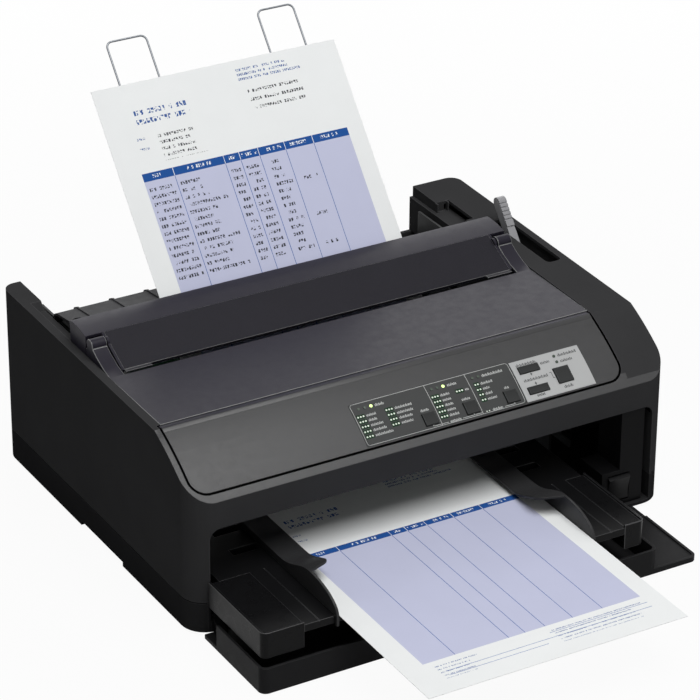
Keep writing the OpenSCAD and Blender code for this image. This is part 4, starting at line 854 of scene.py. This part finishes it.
class PRINTER_OT_mechanism_finish(bpy.types.Operator):
    """Finish the print mechanism, the drive and the electronics"""

    bl_idname = "printer.mechanism_finish"
    bl_label = "Mechanism"

    def execute(self, context):
        c = colours()
        rolled = dict(grain=0.0006, bump=0.02, metallic=1.0, edge=0.0003)
        small = dict(edge=0.0003)
        drawn = dict(stretch=(0.15, 1.0, 1.0), **rolled)
        dress("base_frame", "plated_sheet", c.sheet_metal, 0.36, **drawn)
        black = dict(grain=0.0007, bump=0.02, specular=0.15)
        dress("left_frame right_frame", "black_sheet", c.frame, 0.5, **black)
        ground = dict(stretch=(4.0, 0.3, 0.3), **rolled)
        dress("carriage_rods tractor_shaft", "ground_rod", c.steel, 0.2, **ground)
        roller = dict(grain=0.0007, bump=0.05, **small)
        dress("platen pressure_rollers", "platen_rubber", c.rubber, 0.62, **roller)
        turning = "platen_bushes platen_gear idler_gear feed_pinion left_pulley right_pulley"
        dress(turning, "bearing_plastic", c.bush, 0.42, **small)
        dress("platen_knob", "knob_plastic", c.guide, 0.4, bump=0.05)
        dress("carriage ribbon_cartridge", "carriage_plastic", c.cover, 0.45, bump=0.06)
        head = dict(grain=0.0009, bump=0.06, metallic=0.9, **small)
        dress("print_head", "cast_head", c.head, 0.5, **head)
        belt = dict(grain=0.0008, bump=0.06, edge=0.0002)
        dress("drive_belt", "belt_rubber", c.rubber, 0.7, **belt)
        dress("feed_motor carriage_motor", "motor_steel", c.sheet_metal, 0.3, **rolled)
        tractors = "left_tractor right_tractor"
        dress(tractors, "tractor_plastic", c.guide, 0.45, bump=0.05, **small)
        dress("power_supply", "cage_steel", c.sheet_metal, 0.34, **rolled)
        socket = dict(grain=0.0006, **small)
        dress("rear_sockets", "socket_plastic", c.rubber, 0.4, **socket)
        return {"FINISHED"}


# ------------------------ printed marks


class PRINTER_OT_label_print(bpy.types.Operator):
    """Print the lines, dots and generic words of the two labels"""

    bl_idname = "printer.label_print"
    bl_label = "Label print"

    def execute(self, context):
        c = colours()
        printed = dict(grain=0.0003, bump=0.004, edge=0.0)
        pale = finish("label_ink", c.mark, 0.5, wear=0.05, **printed)
        dark = finish("plate_ink", c.dark_mark, 0.5, wear=0.05, **printed)
        field = finish("dot_field_ink", c.dot_field, 0.5, wear=0.05, specular=0.02, **printed)
        dots = finish("dot_ink", c.dot, 0.4, wear=0.03, **printed)
        low, high = LABEL_TOP - 0.03, LABEL_TOP + sizes().ink / MM
        label = Stamps("label_print", (pale, field, dots), low, high)
        self.draw_label(label, sizes().line / MM)
        piece = label.done()
        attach(piece, "printer")

        plate = Stamps("plate_print", (dark,), low, high)
        for count, (a, b, s) in enumerate(PLATE_WORDS):
            plate.word(a, b, s, 2.4, count)
        for s in DIAMONDS:
            plate.dot(DIAMOND_X, s, 0.95, sides=4)
            plate.bar(DIAMOND_X - 0.25, DIAMOND_X + 0.25, s - 1.3, s + 1.3)
        for ends in BENT_LINE:
            plate.bar(*ends)
        piece = plate.done()
        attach(piece, "printer")
        return {"FINISHED"}

    @staticmethod
    def draw_label(label, line):
        field, dots, sunk, raised = 1, 2, -0.01, 0.02
        margin, half = 1.2, 1.7
        for x in DIVIDERS:
            label.bar(x - line / 2, x + line / 2, *FRAME_S)
        label.frame_lines(*FRAME_X, *FRAME_S, FRAME_CORNER, line)
        for x, across, s, down, pitch in DOT_BLOCKS:
            end = x + DOT_PITCH * (across - 1)
            for row in range(down):
                at = s + row * pitch
                label.bar(x - margin, end + margin, at - half, at + half, field, sunk)
                for n in range(across):
                    label.dot(x + DOT_PITCH * n, at, sizes().dot / MM, dots, raised=raised)
        for count, (a, b, s) in enumerate(LABEL_WORDS):
            label.word(a, b, s, 2.3 if count < TITLES else 2.1, count)
        for a, b in KEY_LINES:
            label.bar(a, b, KEY_LINE_S - line / 2, KEY_LINE_S + line / 2)
        for x in KEY_MARKS:
            label.bar(x - 0.3, x + 0.3, *KEY_MARK_S)
        for x in KEY_DOTS:
            label.dot(x, KEY_DOT_S, KEY_DOT_R, dots, raised=raised)


# ------------------------ sheets of paper


def glyphs(tree, across, down, seed, first, last, pitch, tall, wide, columns):
    """Where a block of generic print has ink: rows of broken strokes, in each column as far as the
    row's random reach. See sheet_material for the values."""

    def times(*values):
        return maths(tree, "MULTIPLY", *values)

    def above(value, limit):
        return maths(tree, "GREATER_THAN", value, limit)

    def below(value, limit):
        return maths(tree, "LESS_THAN", value, limit)

    inked, stroke, blank = 0.45, 0.74, 0.14
    line = maths(tree, "DIVIDE", maths(tree, "SUBTRACT", down, first), pitch)
    number = maths(tree, "FLOOR", line)
    height = times(maths(tree, "FRACT", line), pitch)
    row = times(times(below(height, tall), above(down, first)), below(down, last))
    cell = maths(tree, "DIVIDE", across, wide)
    count = maths(tree, "ADD", maths(tree, "FLOOR", cell), times(number, 37.0))
    inside = maths(tree, "FRACT", cell)
    strokes = node(
        tree, "CombineXYZ", at_0=times(inside, 1.6), at_1=times(height, 1.9 / tall),
        at_2=times(count, 2.37),
    )
    ink = above(noise(tree, strokes.outputs[0], 1.0, 0.0), inked)
    ink = times(ink, below(inside, stroke))
    ink = times(ink, above(chance(tree, maths(tree, "ADD", count, seed * 91.0)), blank))
    reach = chance(tree, maths(tree, "ADD", number, seed + 0.5))
    printed = 0.0
    for left, right, spare in columns:
        end = maths(tree, "SUBTRACT", right, times(reach, spare))
        here = times(above(across, left), below(across, end))
        printed = maths(tree, "MAXIMUM", here, printed)
    return times(times(row, ink), printed)


def sheet_material(name, tint, across, down, blocks=()):
    """Paper with its fibres, and blocks of generic print. across and down turn a place into
    millimetres from the sheet's left and top edges: each is a direction and an offset. A block has
    its first and last row, the distance between rows, the height and width of its strokes' cells,
    its columns and its ink. A column has its two ends and how far its rows may stop short."""
    material, tree, shader = shade_tree(name)
    where = object_place(tree)
    fibre = noise(tree, where, 0.0009, 4.0, 0.7)
    cloud = noise(tree, where, 0.03)
    tone = blend_colours(
        tree, spread(tree, cloud, 0.0, 1.0), scaled(tint, 0.985), scaled(tint, 1.012)
    )
    tone = blend_colours(tree, spread(tree, fibre, 0.0, 0.35), tone, scaled(tint, 0.965))
    place = []
    for direction, offset in (across, down) if blocks else ():
        along = node(
            tree, "VectorMath", operation="DOT_PRODUCT", at_0=where,
            at_1=[d / MM for d in direction],
        )
        place.append(maths(tree, "ADD", along.outputs["Value"], offset))
    for seed, (*block, ink) in enumerate(blocks):
        mask = glyphs(tree, *place, seed, *block)
        tone = blend_colours(tree, maths(tree, "MULTIPLY", mask, 0.97), tone, ink)
    relief = node(tree, "Bump", Strength=0.6, Distance=0.00004, Height=fibre)
    plug(
        tree, shader, Base_Color=tone, Roughness=spread(tree, fibre, 0.78, 0.9),
        Normal=relief.outputs[0], Specular_IOR_Level=0.25,
    )
    return material


def form_inks(name, c, across, down, filled):
    """The five finishes of a form: plain paper, its band, its shading, its lines and its back."""
    head = (
        (22.5, 35.5, 7.4, 3.9, 3.1, ((28.5, 84.0, 10.0),), c.band),
        (7.2, 18.5, 3.9, 2.0, 1.6, ((123.5, 180.0, 14.0),), c.band),
        (44.5, 56.0, 8.2, 1.8, 1.5, ((23.5, 32.0, 1.5),), c.band),
        (247.0, 264.0, 4.1, 1.2, 1.1, ((24.0, 60.0, 14.0), (121.0, 198.0, 12.0)), c.band),
    )
    filling = (
        (44.5, 66.0, 5.3, 2.4, 2.15, ((42.0, 82.0, 15.0),), c.ink),
        (25.5, 46.0, 6.9, 2.5, 2.2, ((128.0, 186.0, 14.0),), c.ink),
    )
    titles = (
        (27.0, 36.0, 0.0), (57.0, 78.0, 0.0), (93.5, 99.0, 0.0), (105.0, 118.0, 0.0),
        (125.0, 140.0, 0.0), (148.0, 163.0, 0.0), (176.0, 193.0, 0.0),
    )
    rows = (
        (20.8, 42.0, 0.0), (47.5, 86.0, 22.0), (91.8, 100.5, 0.0), (105.5, 116.5, 0.0),
        (126.0, 141.0, 7.0), (150.5, 165.5, 30.0),
    )
    table = ((85.0, 162.0, sizes().row / MM, 2.7, 2.25, rows, c.ink),)
    return [
        sheet_material(f"{name}_{part}", tint, across, down, blocks)
        for part, tint, blocks in (
            ("plain", c.paper, head + (filling if filled else ())),
            ("band", c.band, ((74.4, 78.2, 20.0, 2.6, 1.9, titles, c.paper),)),
            ("shade", c.shade, table if filled else ()),
            ("line", scaled(c.band, 1.2), ()),
            ("back", scaled(c.paper, 0.96), ()),
        )
    ]


def form_slot(x, y):
    """Which finish of the form a face takes, by its place from the sheet's left and top edges."""
    plain, band, shade, line = range(4)
    on_line = any(abs(x - c) < HALF_COLUMN_LINE for c in FORM_COLUMNS)
    if FORM_LEFT < x < FORM_RIGHT and FORM_BAND < y < FORM_SHADE:
        return plain if on_line else band
    if FORM_LEFT < x < FORM_RIGHT and FORM_SHADE < y < FORM_FOOT:
        return line if on_line else shade
    if any(abs(y - at) < HALF_FOOT_LINE and a < x < b for at, a, b in FOOT_LINES):
        return line
    return plain


def form_sheet(name, node_name, materials, place):
    """A sheet printed with a plain table, which stands for the CAD node: cut where the print
    changes, coloured face by face, bent to where place says and thickened, with a bare back."""
    (width, height), columns, rows = LETTER, 12, 16
    deselect()
    bpy.ops.mesh.primitive_plane_add(size=1.0, location=mm(width / 2, height / 2, 0))
    sheet = named(name)
    sheet.scale = (width * MM, height * MM, 1.0)
    settle(sheet)
    for material in materials:
        sheet.data.materials.append(material)
    cuts_x = [FORM_LEFT, FORM_RIGHT]
    cuts_x += [c + d for c in FORM_COLUMNS for d in (-HALF_COLUMN_LINE, HALF_COLUMN_LINE)]
    cuts_x += [width * n / columns for n in range(1, columns)]
    cuts_x += FOOT_CUTS
    cuts_y = [FORM_BAND, FORM_SHADE, FORM_FOOT] + [height * n / rows for n in range(1, rows)]
    cuts_y += [y + d for y, _, _ in FOOT_LINES for d in (-HALF_FOOT_LINE, HALF_FOOT_LINE)]
    edit(sheet)
    slice_across((1.0, 0.0, 0.0), cuts_x)
    slice_across((0.0, 1.0, 0.0), cuts_y)
    leave()
    for face in sheet.data.polygons:
        face.material_index = form_slot(face.center[0] / MM, face.center[1] / MM)
    curl = sizes().curl / MM
    laid(sheet, lambda x, y, _: place(x, y, curl * sin(pi * x / width)))
    faces = len(sheet.data.polygons)
    applied(sheet, "SOLIDIFY", thickness=sizes().paper, offset=0.0)
    for face in sheet.data.polygons:
        if not faces <= face.index < 2 * faces:
            face.material_index = len(materials) - 1
    outward(smoothed(sheet, 30))
    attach(sheet, node_name)
    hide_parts(node_name)


class PRINTER_OT_rear_paper(bpy.types.Operator):
    """Make the printed sheet that stands in the rear slot"""

    bl_idname = "printer.rear_paper"
    bl_label = "Rear sheet"

    def execute(self, context):
        left = SHEET[0][0] / MM
        top = (SHEET[1][2] / MM - NIP_Z - HALF_CAD_SHEET * cos(TILT)) / sin(TILT)
        up = Vector((0.0, cos(TILT), sin(TILT)))
        across = (Vector((1, 0, 0)), -left)
        down = (-up, top + Vector((0.0, NIP_Y, NIP_Z)).dot(up))

        def place(x, y, bow):
            held, span = 75.0, 160.0
            free = max(0.0, (top - y - held) / span)
            return on_sheet(left + x, top - y, -bow * free)

        inks = form_inks("rear_form", colours(), across, down, True)
        form_sheet("rear_paper", "rear_sheet", inks, place)
        return {"FINISHED"}


class PRINTER_OT_front_paper(bpy.types.Operator):
    """Make the printed sheet that lies on the front guide"""

    bl_idname = "printer.front_paper"
    bl_label = "Front sheet"

    def execute(self, context):
        left, back = TRAY_SHEET[0][0] / MM, TRAY_SHEET[1][1] / MM
        across = (Vector((1, 0, 0)), -left)
        down = (Vector((0, -1, 0)), back)

        def place(x, y, _):
            return Vector((left + x, back - y, TRAY_Z))

        inks = form_inks("front_form", colours(), across, down, False)
        form_sheet("front_paper", "front_sheet", inks, place)
        return {"FINISHED"}


# ------------------------ stage


class PRINTER_OT_stage(bpy.types.Operator):
    """Set the floor, the lights and the camera"""

    bl_idname = "printer.stage"
    bl_label = "Stage"

    def execute(self, context):
        self.floor()
        self.world()
        self.light("key_light", (0.05, -0.75, 2.1), (0.0, -0.05, 0.1), 1.6, 39.5)
        self.light("fill_light", (-0.2, -2.5, 1.05), (0.0, -0.1, 0.06), 1.2, 3.5)
        self.light("back_light", (1.1, 1.9, 1.5), (0.0, 0.0, 0.1), 1.4, 12.0)
        self.camera()
        return {"FINISHED"}

    @staticmethod
    def white_for_eye(tree, strength):
        """The strength for sight, straight, mirrored or through glass, and none for others."""
        path = node(tree, "LightPath").outputs
        seen = maths(tree, "MAXIMUM", path["Is Camera Ray"], path["Is Glossy Ray"])
        seen = maths(tree, "MAXIMUM", seen, path["Is Transmission Ray"])
        return maths(tree, "MULTIPLY", seen, strength)

    def floor(self):
        """A pale floor that takes the shadow, and turns to plain white away from the printer."""
        deselect()
        bpy.ops.mesh.primitive_plane_add(size=sizes().floor, location=(0, 0, CAD_LOW[2]))
        floor = settle(named("floor"))
        material, tree, shader = shade_tree("floor_white")
        where = object_place(tree)
        fine = noise(tree, where, 0.2)
        tone = blend_colours(tree, fine, (0.5, 0.5, 0.5), (0.53, 0.53, 0.53))
        plug(tree, shader, Base_Color=tone, Roughness=0.9, Specular_IOR_Level=0.1)
        glow = node(tree, "Emission", Color=(1.0, 1.0, 1.0, 1.0), Strength=1.0)
        reach = node(tree, "VectorMath", operation="LENGTH", at_0=where).outputs["Value"]
        near, away = 0.35, 1.1
        white = spread(tree, reach, 0.95, 1.0, near, away)
        share = maths(tree, "MULTIPLY", white, self.white_for_eye(tree, 1.0))
        mix = node(
            tree, "MixShader", at_0=share, at_1=shader.outputs[0], at_2=glow.outputs[0]
        )
        tree.links.new(mix.outputs[0], tree.nodes["Material Output"].inputs["Surface"])
        floor.data.materials.append(material)

    def world(self):
        """White for the eye, and a weak light for everything else."""
        world = bpy.data.worlds.new("studio")
        world.use_nodes = True
        tree = world.node_tree
        seen, unseen = 1.0, 0.15
        strength = maths(tree, "ADD", self.white_for_eye(tree, seen - unseen), unseen)
        plug(tree, tree.nodes["Background"], Color=(1.0, 1.0, 1.0, 1.0), Strength=strength)
        bpy.context.scene.world = world

    @staticmethod
    def light(name, place, target, size, power):
        deselect()
        bpy.ops.object.light_add(type="AREA", location=place)
        lamp = bpy.context.object
        lamp.name = name
        lamp.data.size = size
        lamp.data.energy = power
        lamp.rotation_mode = "QUATERNION"
        lamp.rotation_quaternion = (Vector(target) - Vector(place)).to_track_quat("-Z", "Y")

    @staticmethod
    def camera():
        deselect()
        bpy.ops.object.camera_add(location=(0, 0, 0))
        camera = bpy.context.object
        camera.name = "camera"
        place = Vector((-1198.41, -2093.86, 1377.68)) * MM
        yaw, pitch, roll = 0.5287, 0.4851, 0.0074
        flat = cos(pitch)
        ahead = Vector((sin(yaw) * flat, cos(yaw) * flat, -sin(pitch)))
        level = Vector((cos(yaw), -sin(yaw), 0.0))
        up = level.cross(ahead)
        right = cos(roll) * level + sin(roll) * up
        over = cos(roll) * up - sin(roll) * level
        turn = Matrix((right, over, -ahead)).transposed()
        camera.matrix_world = Matrix.Translation(place) @ turn.to_4x4()
        camera.data.lens = 180.16
        camera.data.sensor_width = 36.0
        camera.data.clip_start, camera.data.clip_end = 0.1, 50.0
        bpy.context.scene.camera = camera
        bpy.context.scene.view_settings.view_transform = "Standard"


# ------------------------ panel and registration

STEPS = (
    PRINTER_OT_cover_finish,
    PRINTER_OT_case_finish,
    PRINTER_OT_panel_finish,
    PRINTER_OT_mechanism_finish,
    PRINTER_OT_label_print,
    PRINTER_OT_rear_paper,
    PRINTER_OT_front_paper,
    PRINTER_OT_stage,
)


class PRINTER_PT_sidebar(bpy.types.Panel):
    """Lists the pieces of the printer and their sizes and colours"""

    bl_label = "Dot matrix printer"
    bl_idname = "PRINTER_PT_sidebar"
    bl_space_type = "VIEW_3D"
    bl_region_type = "UI"
    bl_category = "Printer"

    def draw(self, context):
        for step in STEPS:
            self.layout.operator(step.bl_idname)
        for group in (context.scene.printer_sizes, context.scene.printer_colours):
            box = self.layout.box()
            for name in group.bl_rna.properties.keys():
                if name not in ("rna_type", "name"):
                    box.prop(group, name)


CLASSES = (PrinterSizes, PrinterColours, *STEPS, PRINTER_PT_sidebar)


def register():
    for cls in CLASSES:
        bpy.utils.register_class(cls)
    bpy.types.Scene.printer_sizes = PointerProperty(type=PrinterSizes)
    bpy.types.Scene.printer_colours = PointerProperty(type=PrinterColours)


def unregister():
    del bpy.types.Scene.printer_colours
    del bpy.types.Scene.printer_sizes
    for cls in reversed(CLASSES):
        bpy.utils.unregister_class(cls)


def main():
    register()
    for step in STEPS:
        family, name = step.bl_idname.split(".")
        getattr(getattr(bpy.ops, family), name)()
    deselect()


if __name__ == "__main__":
    main()
